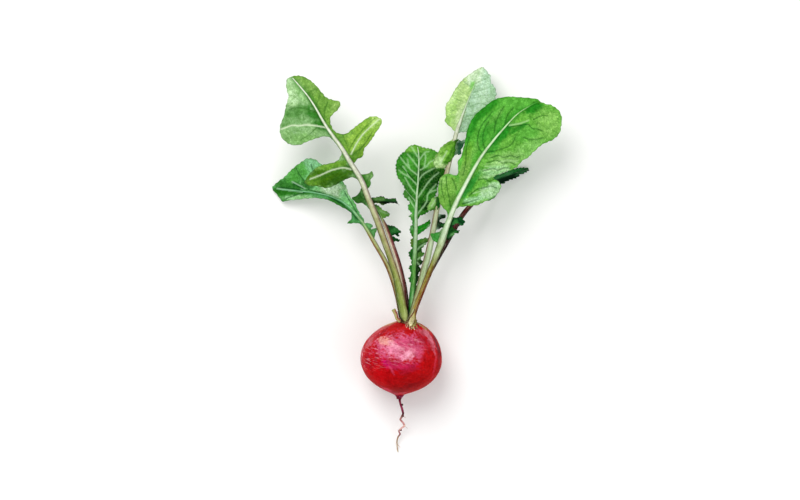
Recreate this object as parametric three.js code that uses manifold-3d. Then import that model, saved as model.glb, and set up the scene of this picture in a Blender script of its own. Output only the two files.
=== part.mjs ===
// One radish with its leafy top, lying on a surface and seen from above. Millimetres, +Z up.
// The origin is on the surface, under the red globe. +Y runs from the root to the leaves.
// Each leaf is a tapered stalk that runs on as the midrib, and a thin blade that passes behind it.

import * as THREE from 'three';
import { mergeVertices } from 'three/addons/utils/BufferGeometryUtils.js';
import Module from 'manifold-3d';

const wasm = await Module();
wasm.setup();

// Globe of the root: widest ring, axis and profile as [distance along the axis, radius]
const GLOBE_CENTRE = [0, -0.5, 19.5];
const GLOBE_LEAN = 3;
const GLOBE_TIP_UP = 15;
const GLOBE_SIDES = 32;
const GLOBE_PROFILE = [
  [-20.8, 0.9], [-19.8, 1.25], [-18.9, 2], [-18.1, 3.3], [-17, 5.6], [-15.6, 8.4], [-13.8, 11.6],
  [-11.6, 14.6], [-9, 17.1], [-6, 18.9], [-3, 19.95], [0, 20.25], [3.5, 19.85], [7, 18.7],
  [10, 16.95], [12.5, 14.9], [15, 12.2], [17, 9.2], [18.3, 6.6], [19, 3.6],
];
const SHOULDER_SHIFT = 0.0065;
const FOOT_SHIFT = 0.0006;

// Taproot as [x, y, z, radius], with small round nodules on it
const TAPROOT = [
  [-0.9, -17, 15.4, 1.4], [-0.6, -21.5, 13.6, 0.95], [0, -24, 12.3, 0.8], [0.75, -26.5, 10.7, 0.75],
  [1, -28.25, 9.5, 0.7], [0.25, -30, 8.3, 0.65], [-0.25, -31.25, 7.4, 0.62], [1.25, -33, 6.2, 0.62],
  [1.5, -34.5, 5.3, 0.6], [0.25, -35.5, 4.7, 0.6], [-1, -37, 3.9, 0.55], [-0.5, -38.5, 3.2, 0.5],
  [-1.5, -40, 2.6, 0.48], [-2, -42, 2, 0.45], [-2, -44, 1.5, 0.4], [-1.75, -46.5, 1.1, 0.35],
];
const NODULES = [
  [0.9, -23.6, 12.5, 0.85], [1.2, -29.2, 8.8, 0.9], [2, -34, 5.6, 0.85], [0.2, -36.4, 4.3, 0.8],
];

// Crown collar: its top, and a thin torn lip that lies on the shoulder and hangs lowest in front
const CROWN_SHIFT = 0.5;
const CROWN_TOP = 20.45;
const CROWN_RADIUS = 4.4;
const CROWN_SIDES = 36;
const LIP_RADIUS = 5;
const LIP_HANG = 3.4;
const LIP_FRONT = 85;
const LIP_SPREAD = 38;
const LIP_THICKNESS = 0.8;
const TORN_DEPTH = 0.12;
const SHOULDER_GAP = 0.38;

// Stub of an old leaf stalk, as [x, y, z, width]
const STUB = [[-1.9, 19.7, 27, 1.8], [-2.6, 22, 27.8, 2], [-3.75, 24.25, 28.6, 2.1]];

// Stalk and blade sections
const STALK_SIDES = 6;
const STALK_STEP = 5;
const STALK_FLATNESS = 0.75;
const BLADE_THICKNESS = 0.8;
const STALK_GAP = 0.38;
const WING_INSET = 0.2;
const BLADE_ARCH = 0.05;
const RIPPLE = 0.3;

// Each leaf: line is the stalk and midrib as [x, y, z, width]. left and right are the blade's
// margins from the base to the tip as [station on the line, x, y, rise]; a bare [station] is where
// the margin hides behind the stalk between two lobes.
const LEAVES = {
  leaf_tall_left: {
    stalk: 0xb9b98c,
    blade: 0x4f9a45,
    columns: 2,
    line: [
      [1.5, 19.1, 28, 4], [0.25, 27, 29.5, 4.4], [-1.75, 38, 32, 3.8], [-5, 49, 34.5, 3.3],
      [-8.5, 59, 36.5, 3.4], [-12, 69, 38, 3.5], [-16, 79, 39, 3.2], [-20, 89, 39.5, 3],
      [-25.5, 98, 39.5, 2.8], [-29.75, 105, 39.2, 2.7], [-35, 112.25, 38.5, 2.2],
      [-39, 118.5, 37.2, 1.8], [-42.25, 124.25, 35.6, 1.5], [-46.25, 130.5, 33.4, 1.2],
      [-51, 136.25, 30.6, 1], [-54.25, 140, 28.4, 0.7],
    ],
    left: [
      [4.9], [5.5], [5.75, -19, 77.2, -1], [5.95, -22, 77.4, -1.5], [6.1, -24.5, 80, -1.6],
      [6.25, -21.8, 81.4, -1], [6.45, -20, 84.5, -0.5], [6.65], [7],
      [7.15, -23.8, 90.2, -0.8], [7.25, -26.6, 89.6, -1.8], [7.35, -29.5, 88.2, -2.8],
      [7.45, -33, 86.25, -3.6], [7.55, -36.75, 84.9, -4], [7.65, -41.5, 85.75, -3.8],
      [7.73, -46.5, 86.4, -3.2], [7.8, -48.25, 88, -2.7], [7.87, -46.75, 90.5, -2.2],
      [7.94, -44, 93.75, -1.9], [8, -39.5, 96.4, -1.6], [8.1, -34.5, 97.4, -1.3],
      [8.3, -31.75, 98.6, -1], [8.55, -30.25, 100.5, -0.6], [8.75], [9.3],
      [9.7, -35.3, 109.9, -0.4], [9.84, -37.5, 110.7, -0.9], [9.95, -41.5, 109.9, -1.6],
      [10.07, -46.5, 108.2, -2.6], [10.2, -51.5, 106.25, -4], [10.42, -56.5, 107.25, -5.6],
      [10.7, -60, 111, -6.6], [11.1, -60.4, 116, -7], [11.5, -58.75, 120.5, -6.6],
      [12.1, -57.25, 127, -5], [12.6, -56.25, 130.5, -4.2], [13.1, -57, 133.5, -3.6],
      [13.6, -57.4, 136.5, -3], [14.4, -57, 139.25, -1.6], [15, -55.6, 140.4, -0.5],
    ],
    right: [
      [4.9], [6.4], [6.55, -16.6, 84.5, -0.4], [6.65, -15, 86.5, -0.9], [6.75, -15.25, 88.5, -1],
      [6.84, -13.75, 91.5, -1.5], [6.93, -14.5, 93.2, -1.4], [7.02, -17, 91.9, -0.9],
      [7.15, -20, 92, -0.5], [7.4], [7.8],
      [7.95, -23.1, 97.6, -0.5], [8.1, -21.5, 99.5, -1], [8.2, -19.25, 100.5, -1.6],
      [8.3, -18.25, 104.5, -2], [8.4, -15.25, 108.25, -2.4], [8.5, -12.5, 112.5, -2.6],
      [8.6, -10, 116.5, -2.9], [8.68, -9.5, 118.75, -3], [8.76, -12, 120.5, -2.6],
      [8.85, -15.5, 120.5, -2], [8.97, -19.5, 118, -1.2], [9.12, -23.5, 115, -0.6],
      [9.35, -27.5, 112, -0.2], [9.6, -30, 112, -0.2], [9.85, -32.1, 112.6, -0.2],
      [10.05, -33.4, 113.6, -0.2], [10.3, -34.5, 115.5, -0.3], [10.6, -35.35, 118, -0.4],
      [10.85, -35.25, 120, -0.5], [11.05, -34, 121.75, -1], [11.25, -32, 123.5, -1.6],
      [11.4, -30.6, 125.6, -2], [11.55, -30.4, 127.8, -2.2], [11.75, -33.5, 128.8, -1.7],
      [12.1, -37, 130, -1.2], [12.5, -40, 133.25, -1.2], [13.1, -43, 136.75, -1.3],
      [13.8, -46.75, 139.75, -1.2], [14.5, -51, 141.2, -0.8], [15, -53.6, 141.1, -0.3],
    ],
  },
  leaf_drooping_left: {
    stalk: 0xb2a184,
    blade: 0x3f7f52,
    columns: 2,
    line: [
      [0.2, 20.3, 24, 2.5], [-1.9, 31, 24.3, 2.5], [-4.6, 40.5, 24.7, 2.6], [-8, 48.5, 24.8, 2.5],
      [-11.75, 55, 24.8, 2.5], [-15.25, 61, 24.4, 2.3], [-18.5, 66.5, 23.6, 2.1],
      [-22, 71.25, 22.6, 1.8], [-26, 75.5, 21.4, 1.6], [-30.5, 78.75, 20, 1.4],
      [-36.5, 81.25, 17.8, 1.3], [-43.5, 82.75, 14.6, 1.2], [-50.5, 83.5, 10.8, 1],
      [-58, 84.25, 5.9, 0.8], [-64.5, 84.9, 1.5, 0.6],
    ],
    left: [
      [4.9], [5.9], [6.15, -21.25, 67.3, -0.6], [6.3, -24, 67.4, -1.1], [6.42, -27, 67.25, -1.8],
      [6.55, -25, 69.6, -1.4], [6.8, -24.75, 71.75, -1.2], [7.1, -25.75, 73.25, -1.4],
      [7.8, -29.75, 75.5, -2], [8.5, -33, 77.25, -2.8], [9.2, -36.5, 79, -3.4],
      [10, -42, 80, -4.2], [10.8, -47.25, 79.75, -5], [11.5, -52.5, 79.25, -5.4],
      [12.1, -57, 78.8, -4.6], [12.5, -59.25, 78.25, -4.2], [12.9, -60.75, 79.6, -3.4],
      [13.4, -62.25, 81.75, -1.8], [14, -64.4, 84, -0.3],
    ],
    right: [
      [4.7], [4.95, -13, 61.5, -0.4], [5.1, -12.3, 63.5, -0.8], [5.22, -11.6, 64.6, -1],
      [5.35, -13.6, 64.9, -0.7], [5.5, -15.2, 64.3, -0.3], [5.65, -14.1, 65.9, -0.8],
      [5.85, -16.4, 67.6, -0.4], [6.1], [6.4, -18.6, 69.2, -0.3], [6.9, -21.3, 73.5, 0],
      [7.3, -23, 77.5, 0.6], [7.7, -26, 81.5, 1], [8.1, -27.5, 86, 1.2], [8.45, -29.5, 88.5, 1.3],
      [8.9, -33.5, 92.75, 1.4], [9.5, -39.5, 96.6, 1.5], [10, -43, 99.3, 1.5],
      [10.5, -46.75, 99.9, 1.2], [11, -50.5, 97.75, 0.9], [11.7, -55, 94.25, 0.6],
      [12.4, -59, 90.25, 0.4], [13, -61.75, 88.4, 0.2], [13.6, -63.8, 86.6, 0.1],
      [14, -64.8, 85.8, 0],
    ],
  },
  leaf_slender_left: {
    stalk: 0x9c6d5e,
    blade: 0x2f5a3a,
    columns: 2,
    line: [
      [2.5, 21, 20.7, 2], [2.3, 29, 20.6, 2.4], [0.75, 39, 20.2, 2.7], [-1.5, 48, 19.2, 2.7],
      [-4.5, 57, 18, 2.6], [-7.25, 64.5, 16.8, 2.3], [-10.25, 71.5, 15.4, 1.9],
      [-13, 76, 14.2, 1.4], [-14.3, 78, 13.5, 1.1], [-15.2, 79.3, 13, 0.8],
    ],
    left: [
      [3.6], [6.6], [7, -14.4, 76.9, -0.4], [7.6, -15.6, 78.2, -0.5], [8.3, -16.4, 79.4, -0.5],
      [9, -16, 80.2, -0.3],
    ],
    right: [
      [3.6], [4], [4.18, -3, 58.5, -0.5], [4.28, -1.6, 58.1, -1.2], [4.38, -0.5, 58.8, -1.7],
      [4.5, -2.3, 60, -1.1], [4.66, -4.2, 61.2, -0.6], [4.8, -3.4, 61.6, -1],
      [4.9, -0.9, 60.7, -1.7], [4.98, -1.1, 62.4, -1.6], [5.05, 0.25, 62.9, -2],
      [5.14, -1, 64.2, -1.6], [5.26, -3.5, 66, -1], [5.42, -6, 66.4, -0.5], [5.6],
      [5.75, -8.2, 70.2, -0.3], [5.95, -7, 70.7, -1], [6.12, -5.5, 71.75, -1.5],
      [6.26, -7, 73, -1.2], [6.45, -9.6, 74.1, -0.6], [6.8, -11.3, 75.4, -0.3],
      [7.15, -8.8, 75.7, -1], [7.5, -5.5, 76.5, -1.5], [7.8, -1, 76.6, -2.3],
      [7.95, -2.4, 78.6, -2], [8.1, -4, 80, -1.4], [8.35, -8, 80.3, -0.8],
      [8.6, -10, 81, -0.4], [8.8, -12.3, 80.9, -0.2], [9, -14.6, 80.6, -0.1],
    ],
  },
  leaf_middle: {
    stalk: 0x9fb280,
    blade: 0x2f7434,
    columns: 2,
    line: [
      [4.95, 20.7, 21.3, 2], [5.1, 29, 22, 2.2], [6, 37, 22.6, 2.5], [6.5, 45, 23, 2.5],
      [7, 53, 23, 2.2], [7.25, 60.5, 22.6, 1.9], [7.5, 67, 22, 1.7], [7.5, 72.25, 21.3, 1.5],
      [7.75, 77, 20.4, 1.4], [8, 82.25, 19.2, 1.2], [8.5, 87.5, 17.8, 1.1], [8.75, 93, 16, 1],
      [9, 98.5, 13.6, 0.9], [8.75, 103, 11, 0.8], [8.25, 105.75, 9.2, 0.7],
    ],
    left: [
      [1.8], [2.9], [3.1, 4.2, 45, -0.5], [3.35], [3.6], [3.8, 3.9, 52.8, -0.7], [4.05],
      [4.4], [4.6, 4.7, 59.4, -0.5], [4.85], [5.1, 4.9, 63, -0.5], [5.35, 4.8, 65, -0.5], [5.7],
      [6], [6.2, 3.9, 71, -1], [6.45, 5.4, 72.2, -0.4], [6.7, 4, 74, -0.9],
      [7, 3.4, 76, -1], [7.35, 4.4, 77.6, -0.9], [7.7, 1.5, 80.8, -1.4], [8, 1.1, 82.6, -1.6],
      [8.35, 1.9, 84.4, -1.5], [8.9, 0.1, 88, -2.1], [9.4, -1.5, 90.1, -2.5],
      [10, -2.4, 93.2, -2.9], [10.8, -2.4, 97.8, -3], [11.5, -0.8, 101.2, -2.8],
      [12.2, 2, 103.75, -2.3], [13, 4.5, 106.25, -1.6], [14, 7.2, 106.9, -0.3],
    ],
    right: [
      [1.8], [2], [2.2, 9, 40, -0.7], [2.45], [2.9], [3.1, 10, 46.5, -0.8], [3.35], [3.55],
      [3.72, 11.5, 54, -1.1], [3.95], [4.1], [4.24, 11.5, 56, -0.9], [4.34, 13, 57.6, -1.3],
      [4.44, 14, 59.75, -1.5], [4.55, 11.5, 60, -1], [4.8], [5.05],
      [5.22, 12.3, 64.3, -0.9], [5.36, 14.5, 66.5, -1.4], [5.48, 14.5, 69, -1.4],
      [5.62, 11.6, 67.3, -0.8], [5.85], [6.2], [6.5, 9.5, 71, -0.3], [6.7, 12, 72, -0.6],
      [6.95, 14.6, 74.4, -1], [7.4, 16.3, 78.4, -1.3], [8.1, 17.8, 83, -1.7],
      [8.8, 18.6, 87, -2.1], [9.3, 20, 90, -2.5], [9.8, 22, 92.5, -2.9],
      [10.5, 21.3, 96.5, -3], [11.3, 20, 100.5, -2.9], [11.9, 18.3, 103, -2.6],
      [12.6, 15, 104.75, -2.1], [13.3, 11.5, 105.4, -1.3], [14, 9.2, 106.2, -0.4],
    ],
  },
  leaf_broad_right: {
    stalk: 0xc2c9a0,
    blade: 0x4ba32f,
    columns: 3,
    line: [
      [5.75, 18.8, 28.2, 3.2], [7.25, 25, 29.6, 2.8], [10.5, 33.5, 31.6, 2.8], [15.5, 46, 34.5, 3.2],
      [20, 57.5, 37.1, 3.6], [22, 63.5, 38.2, 3.1], [24, 69, 39.1, 2.8], [27.5, 77.5, 40.1, 2.6],
      [30, 82.5, 40.5, 2.4], [35, 92, 40.9, 2.1], [40, 100.5, 40.7, 1.8], [46, 108.5, 39.9, 1.5],
      [52, 115.5, 38.4, 1.2], [58, 121.75, 36.4, 0.9], [64, 125.75, 34.4, 0.8],
      [68.25, 127.9, 32.7, 0.6],
    ],
    left: [
      [3.2], [3.9], [4.05, 17.8, 57.7, -0.7], [4.2, 16.4, 58.4, -1.1], [4.35, 15.3, 60, -1.4],
      [4.48, 14.75, 62, -1.7], [4.62, 16.6, 62.5, -1.3], [4.8, 18.6, 63, -0.8],
      [5, 20, 64.2, -0.4], [5.3], [6.1],
      [6.3, 23, 72.8, -0.7], [6.42, 21.2, 74.8, -1.1], [6.55, 19.6, 77, -1.5],
      [6.7, 18.8, 79.7, -1.9], [6.88, 18.5, 83.2, -2.3], [7.05, 18.8, 87, -2.6],
      [7.17, 19.6, 90, -2.8], [7.3, 21.7, 91.7, -2.6], [7.46, 24.4, 92, -2.2],
      [7.7, 27.7, 91.3, -1.6], [8.05, 28.5, 94, -1.8], [8.5, 28.3, 98, -2.4],
      [8.85, 30, 100.75, -2.8], [9.2, 31.25, 105.5, -3.6], [9.6, 32.25, 110, -4.2],
      [10, 33.6, 115.5, -4.8], [10.5, 37, 121.5, -5.2], [11.1, 42, 125.75, -5.2],
      [11.7, 46.5, 129, -4.8], [12.4, 52, 130.5, -4.2], [13.2, 59.5, 130.3, -3.2],
      [14.2, 66, 129.75, -1.6], [15, 68.4, 129.3, -0.5],
    ],
    right: [
      [3.2], [6.5], [6.75, 28.1, 74.9, -0.3], [6.9, 31, 75.7, -0.8], [7.05, 34, 76, -1.4],
      [7.2, 38, 76.3, -2.2], [7.38, 41.8, 78.1, -3], [7.54, 45.5, 79.3, -3.7],
      [7.7, 48.5, 82.5, -4.2], [7.84, 50, 85.4, -4.5], [7.98, 49.2, 87.6, -4.3],
      [8.14, 46.2, 90.2, -3.7], [8.3, 48, 91.4, -4], [8.5, 51.5, 92.8, -4.4],
      [8.68, 55, 94, -4.8], [8.82, 58, 95.5, -5.1], [9, 60, 98, -5.3],
      [9.25, 63.5, 100.25, -5.6], [9.5, 66.5, 103.25, -5.8], [9.8, 70, 106.25, -6],
      [10.1, 73, 107.8, -6.2], [10.4, 76.4, 109.4, -6.4], [10.8, 79.25, 112.5, -6.6],
      [11.2, 80, 116, -6.5], [11.6, 80.4, 119.5, -6.2], [12.2, 79, 123.5, -5.5],
      [12.9, 75, 126.4, -4.3], [13.8, 72, 127.1, -2.8], [15, 69.4, 128.3, -0.5],
    ],
  },
  leaf_pale_right: {
    stalk: 0xaeb39a,
    blade: 0x86b77c,
    columns: 2,
    line: [
      [5.25, 19.8, 24.4, 2.3], [6.75, 27.25, 25.5, 2.5], [9, 34.5, 26.8, 2.9],
      [10.75, 41.5, 27.8, 3.2], [12.75, 48.5, 28.6, 3.4], [14.5, 56, 29, 3.2],
      [16, 63.5, 29, 2.8], [17.5, 72, 28.6, 2.6], [19.5, 80.5, 28, 2.5], [21.75, 88.5, 27.4, 2.4],
      [23.75, 96, 26.6, 2.3], [25.75, 104.5, 25.4, 2.2], [28, 113.5, 23.8, 2.1],
      [29.75, 118.5, 22.4, 1.8], [31.5, 123.5, 20.8, 1.4], [33.5, 128.5, 18.8, 1.1],
      [35.75, 134, 16.2, 1], [37.75, 139, 13.2, 0.9], [39.75, 143, 10.4, 0.7],
      [40.75, 145, 8.9, 0.6],
    ],
    left: [
      [5.5], [7.1], [7.25, 15.1, 74.4, -0.7], [7.38, 13, 75.2, -1.4], [7.55, 14, 77.2, -1.4],
      [7.7, 15.2, 78.8, -1.1], [7.86, 16.8, 79.4, -0.6], [8.1], [9.8],
      [10, 21.4, 95, -0.5], [10.15, 19.6, 94.9, -1], [10.3, 17.6, 95.3, -1.6],
      [10.45, 16.1, 97.2, -2], [10.6, 16.7, 99.3, -1.9], [10.78, 17.6, 101.7, -1.7],
      [10.95, 19.2, 103.8, -1.5], [11.12, 21, 106, -1.2], [11.3, 23, 107.7, -0.8],
      [11.55], [11.9], [12.05, 26.2, 114, -0.4], [12.25, 24.4, 115.8, -0.9],
      [12.5, 22, 118.4, -1.4], [12.85, 22.5, 121, -1.6], [13.3, 22.25, 123.6, -1.8],
      [13.8, 22.6, 127, -2], [14.3, 24.4, 129.5, -2], [14.8, 25.9, 132.4, -2],
      [15.4, 28.1, 136, -1.9], [16.1, 31, 139.5, -1.7], [16.8, 34, 141.9, -1.4],
      [17.7, 37.3, 144.2, -0.9], [19, 40.4, 145.9, -0.2],
    ],
    right: [
      [5.5], [6], [6.15, 19.4, 64.8, -0.5], [6.27, 22, 65.2, -1], [6.38, 22, 67.2, -1],
      [6.52, 19.4, 68, -0.5], [6.66, 20.4, 69.6, -0.6], [6.77, 22.5, 70.4, -1],
      [6.88, 21.8, 71.8, -0.9], [7.05], [10.5], [10.75, 28, 101.8, -0.5],
      [10.87, 29.75, 101.6, -0.9], [10.97, 30.1, 103.6, -1], [11.12, 31, 106, -1.1],
      [11.27, 32.5, 108.9, -1.4], [11.42, 29.8, 109, -0.8], [11.6], [11.85],
      [12, 30, 112.8, -0.3], [12.15, 33, 113.2, -0.9], [12.4, 37.4, 114.3, -1.7],
      [12.8, 41.6, 117.4, -2.4], [13.3, 44.6, 121.5, -2.8], [13.9, 46.5, 126, -3],
      [14.4, 47.3, 130, -2.9], [14.9, 47.8, 133, -2.7], [15.4, 46.6, 136.2, -2.5],
      [15.9, 44.9, 138.2, -2.1], [16.4, 45, 141, -1.9], [17.2, 43.2, 143.4, -1.3],
      [18.2, 42.2, 145, -0.6], [19, 41.5, 145.7, -0.2],
    ],
  },
  leaf_dark_right: {
    stalk: 0x7d3f3c,
    blade: 0x26502f,
    columns: 2,
    line: [
      [7.5, 20.4, 21.9, 2.1], [9.9, 30.5, 21.2, 2.3], [14.5, 40.5, 20, 2.3], [18.25, 48.5, 18.8, 2.2],
      [21.75, 55.5, 17.6, 2.1], [25.25, 62, 16.4, 2], [28.5, 67.75, 15, 1.9], [32, 73, 13.4, 1.8],
      [36, 77.5, 11.6, 1.7], [40, 82.25, 9.4, 1.5], [43, 85.5, 7.6, 1.4], [46.5, 88.5, 5.8, 1.2],
      [50.5, 90.5, 4.2, 1], [55, 91.9, 2.9, 0.9], [59.5, 93.25, 1.9, 0.8], [64, 94.4, 1.5, 0.6],
    ],
    left: [
      [3.4], [3.9], [4.1, 18.8, 57.3, -0.8], [4.35, 20.6, 59.6, -0.7], [4.6, 21.9, 62, -0.6],
      [4.8, 21.8, 64.6, -0.9], [5, 22.9, 68, -1.3], [5.25, 25, 70.4, -1.3], [5.55, 26.9, 70.2, -0.8],
      [5.95], [9.7], [10, 41.6, 87, -0.5], [10.4, 45.4, 89.9, -0.8], [10.8, 47.6, 91.6, -1],
      [11.3, 50.6, 92.4, -1], [11.9, 53.6, 93.7, -1], [12.5, 56.5, 94.6, -0.9],
      [13.2, 59.5, 95.3, -0.7], [14.1, 62.2, 95.5, -0.4], [15, 63.9, 95.3, -0.1],
    ],
    right: [
      [3.4], [4.5], [4.75, 26.8, 60.3, -0.5], [4.95, 28.4, 61.2, -0.8], [5.15, 29.4, 63.3, -1.1],
      [5.5, 30.9, 66.4, -1.1], [5.8, 31.2, 68.2, -0.8], [6.15], [9.4],
      [9.8, 44, 84.2, -0.5], [10.15, 47, 85.4, -0.9], [10.6, 49.6, 86.6, -1.1],
      [11, 51.5, 87.5, -1.1], [11.6, 54, 88.9, -1], [12.1, 56.2, 89.6, -1],
      [12.7, 58.4, 90.4, -0.9], [13.2, 59.6, 91.6, -0.8], [13.8, 61.8, 92.5, -0.6],
      [14.4, 63.2, 93.2, -0.4], [15, 64.5, 93.9, -0.1],
    ],
  },
};

const UP = new THREE.Vector3(0, 0, 1);

// Closed surface over rings of equal length, with a flat cap on each end
function loft(rings) {
  const sides = rings[0].length;
  const points = rings.flat();
  const faces = [];
  for (let i = 0; i + 1 < rings.length; i++) {
    for (let j = 0; j < sides; j++) {
      const a = i * sides + j;
      const b = i * sides + ((j + 1) % sides);
      faces.push(a, b, b + sides, a, b + sides, a + sides);
    }
  }
  [0, rings.length - 1].forEach((ring, end) => {
    const centre = points.length;
    points.push(rings[ring].reduce((sum, p) => sum.add(p), new THREE.Vector3()).divideScalar(sides));
    for (let j = 0; j < sides; j++) {
      const a = ring * sides + j;
      const b = ring * sides + ((j + 1) % sides);
      if (end === 0) faces.push(centre, b, a);
      else faces.push(centre, a, b);
    }
  });
  return new THREE.BufferGeometry().setFromPoints(points).setIndex(faces);
}

// Smooth curve through the first three numbers of each entry, and another through the fourth
function curvesThrough(entries) {
  const place = new THREE.CatmullRomCurve3(
    entries.map((e) => new THREE.Vector3(e[0], e[1], e[2])), false, 'catmullrom', 0.5);
  const size = new THREE.CatmullRomCurve3(
    entries.map((e) => new THREE.Vector3(e[3], 0, 0)), false, 'catmullrom', 0.5);
  const last = entries.length - 1;
  return (station) => {
    const u = THREE.MathUtils.clamp(station / last, 0, 1);
    const along = place.getTangent(u);
    const across = new THREE.Vector3().crossVectors(along, UP).normalize();
    return {
      at: place.getPoint(u),
      size: size.getPoint(u).x,
      across,
      over: new THREE.Vector3().crossVectors(across, along).normalize(),
    };
  };
}

// Round or oval rod along the entries; flatness is its height over its width
function rod(entries, sides, step, flatness) {
  const section = curvesThrough(entries);
  const last = entries.length - 1;
  const rings = [];
  const add = (station, scale) => {
    const s = section(station);
    const ring = [];
    for (let j = 0; j < sides; j++) {
      const a = (-j / sides) * 2 * Math.PI;
      const half = (s.size / 2) * scale;
      ring.push(s.at.clone()
        .addScaledVector(s.across, Math.cos(a) * half)
        .addScaledVector(s.over, Math.sin(a) * half * flatness));
    }
    rings.push(ring);
  };
  for (let i = 0; i < last; i++) {
    const a = new THREE.Vector3(...entries[i]);
    const b = new THREE.Vector3(...entries[i + 1]);
    const parts = Math.max(1, Math.round(a.distanceTo(b) / step));
    for (let k = 0; k < parts; k++) add(i + k / parts, i + k === 0 ? 0.8 : 1);
  }
  add(last, 1);
  return loft(rings);
}

// Margin point of a blade at a station, as its plan place and its rise over the blade's middle
function marginOf(entries, side, section) {
  const hidden = (station) => {
    const s = section(station);
    const reach = Math.max(s.size / 2 - WING_INSET, 0.35);
    return [s.at.x + s.across.x * side * reach, s.at.y + s.across.y * side * reach, 0];
  };
  const known = entries.map((e) => (e.length === 1 ? hidden(e[0]) : e.slice(1)));
  return (station) => {
    let i = 0;
    while (i + 2 < entries.length && entries[i + 1][0] <= station) i++;
    if (entries[i].length === 1 && entries[i + 1].length === 1) return hidden(station);
    const span = entries[i + 1][0] - entries[i][0];
    const f = THREE.MathUtils.clamp((station - entries[i][0]) / span, 0, 1);
    return known[i].map((value, axis) => THREE.MathUtils.lerp(value, known[i + 1][axis], f));
  };
}

// Area of a triangle seen from above, below zero where it is turned over
function planArea([a, b, c]) {
  return ((b.x - a.x) * (c.y - a.y) - (c.x - a.x) * (b.y - a.y)) / 2;
}

// Thin closed sheet behind the stalk, from rows that run from the left margin to the right one
function blade(leaf) {
  const section = curvesThrough(leaf.line);
  const left = marginOf(leaf.left, -1, section);
  const right = marginOf(leaf.right, 1, section);
  const marks = [...leaf.left, ...leaf.right].map((e) => e[0]);
  const first = Math.min(...marks);
  const last = Math.max(...marks);
  for (let s = Math.ceil(first); s < last; s++) marks.push(s);
  const stations = [...marks].sort((a, b) => a - b).filter((s, i, all) => i === 0 || s - all[i - 1] > 0.012);
  const columns = leaf.columns * 2;
  const top = stations.map((station) => {
    const s = section(station);
    const middle = s.at.z - (s.size * STALK_FLATNESS) / 2 - STALK_GAP;
    const row = [];
    for (let j = 0; j <= columns; j++) {
      const v = Math.abs((2 * j) / columns - 1);
      const [x, y, rise] = (2 * j < columns ? left : right)(station);
      const length = Math.hypot(x - s.at.x, y - s.at.y);
      const px = THREE.MathUtils.lerp(s.at.x, x, v);
      const py = THREE.MathUtils.lerp(s.at.y, y, v);
      const wave = RIPPLE * v * Math.min(1, length / 8) * Math.sin(px * 0.7) * Math.cos(py * 0.6);
      const arch = BLADE_ARCH * length * 4 * v * (1 - v);
      row.push(new THREE.Vector3(px, py, Math.max(middle + rise * v + arch + wave, BLADE_THICKNESS)));
    }
    return row;
  });
  const thickness = (i, j) => {
    const a = top[Math.max(i - 1, 0)][j];
    const b = top[Math.min(i + 1, top.length - 1)][j];
    const c = top[i][Math.max(j - 1, 0)];
    const d = top[i][Math.min(j + 1, columns)];
    const normal = new THREE.Vector3().crossVectors(b.clone().sub(a), d.clone().sub(c)).normalize();
    return BLADE_THICKNESS / Math.max(Math.abs(normal.z), 0.55);
  };
  const under = top.map((row, i) => row.map((p, j) =>
    new THREE.Vector3(p.x, p.y, Math.max(p.z - thickness(i, j), 0))));
  const wide = columns + 1;
  const points = [...top.flat(), ...under.flat()];
  const shift = top.length * wide;
  const faces = [];
  for (let i = 0; i + 1 < top.length; i++) {
    for (let j = 0; j < columns; j++) {
      const a = i * wide + j;
      const b = a + 1;
      const c = a + wide;
      const d = c + 1;
      const ways = [[[a, b, c], [b, d, c]], [[a, b, d], [a, d, c]]];
      const worst = ways.map((way) => Math.min(...way.map((face) => planArea(face.map((k) => points[k])))));
      for (const [p, q, r] of ways[worst[0] > worst[1] ? 0 : 1]) {
        faces.push(p, q, r, p + shift, r + shift, q + shift);
      }
    }
  }
  const wall = (a, b) => faces.push(a, a + shift, b + shift, a, b + shift, b);
  for (let i = 0; i + 1 < top.length; i++) {
    wall((i + 1) * wide, i * wide);
    wall(i * wide + columns, (i + 1) * wide + columns);
  }
  for (let j = 0; j < columns; j++) {
    wall(j, j + 1);
    wall(shift - wide + j + 1, shift - wide + j);
  }
  return new THREE.BufferGeometry().setFromPoints(points).setIndex(faces);
}

// Directions of the globe's axis and of its rings
const lean = THREE.MathUtils.degToRad(GLOBE_LEAN);
const tipUp = THREE.MathUtils.degToRad(GLOBE_TIP_UP);
const axis = new THREE.Vector3(
  Math.sin(lean) * Math.cos(tipUp), Math.cos(lean) * Math.cos(tipUp), Math.sin(tipUp));
const ringX = new THREE.Vector3(Math.cos(lean), -Math.sin(lean), 0);
const ringZ = new THREE.Vector3().crossVectors(ringX, axis).normalize();

// Ring about the globe's axis at a distance along it; radius is a function of the angle
function ringAt(distance, radius, sides, extraShift = 0) {
  const shift = (distance > 0 ? SHOULDER_SHIFT : -FOOT_SHIFT) * distance * distance + extraShift;
  const centre = new THREE.Vector3(...GLOBE_CENTRE)
    .addScaledVector(axis, distance)
    .addScaledVector(ringX, shift);
  const ring = [];
  for (let j = 0; j < sides; j++) {
    const a = (-j / sides) * 2 * Math.PI;
    const p = centre.clone()
      .addScaledVector(ringX, Math.cos(a) * radius(a))
      .addScaledVector(ringZ, Math.sin(a) * radius(a));
    ring.push(p);
  }
  return ring;
}

function solidOf(geometry) {
  const bare = new THREE.BufferGeometry().setAttribute('position', geometry.getAttribute('position'));
  if (geometry.index) bare.setIndex(geometry.index);
  const merged = mergeVertices(bare, 1e-4);
  return new wasm.Manifold(new wasm.Mesh({
    numProp: 3,
    vertProperties: merged.getAttribute('position').array,
    triVerts: new Uint32Array(merged.index.array),
  }));
}

function geometryOf(solid) {
  const mesh = solid.getMesh();
  return new THREE.BufferGeometry()
    .setAttribute('position', new THREE.BufferAttribute(new Float32Array(mesh.vertProperties), 3))
    .setIndex(new THREE.BufferAttribute(new Uint32Array(mesh.triVerts), 1));
}

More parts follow.
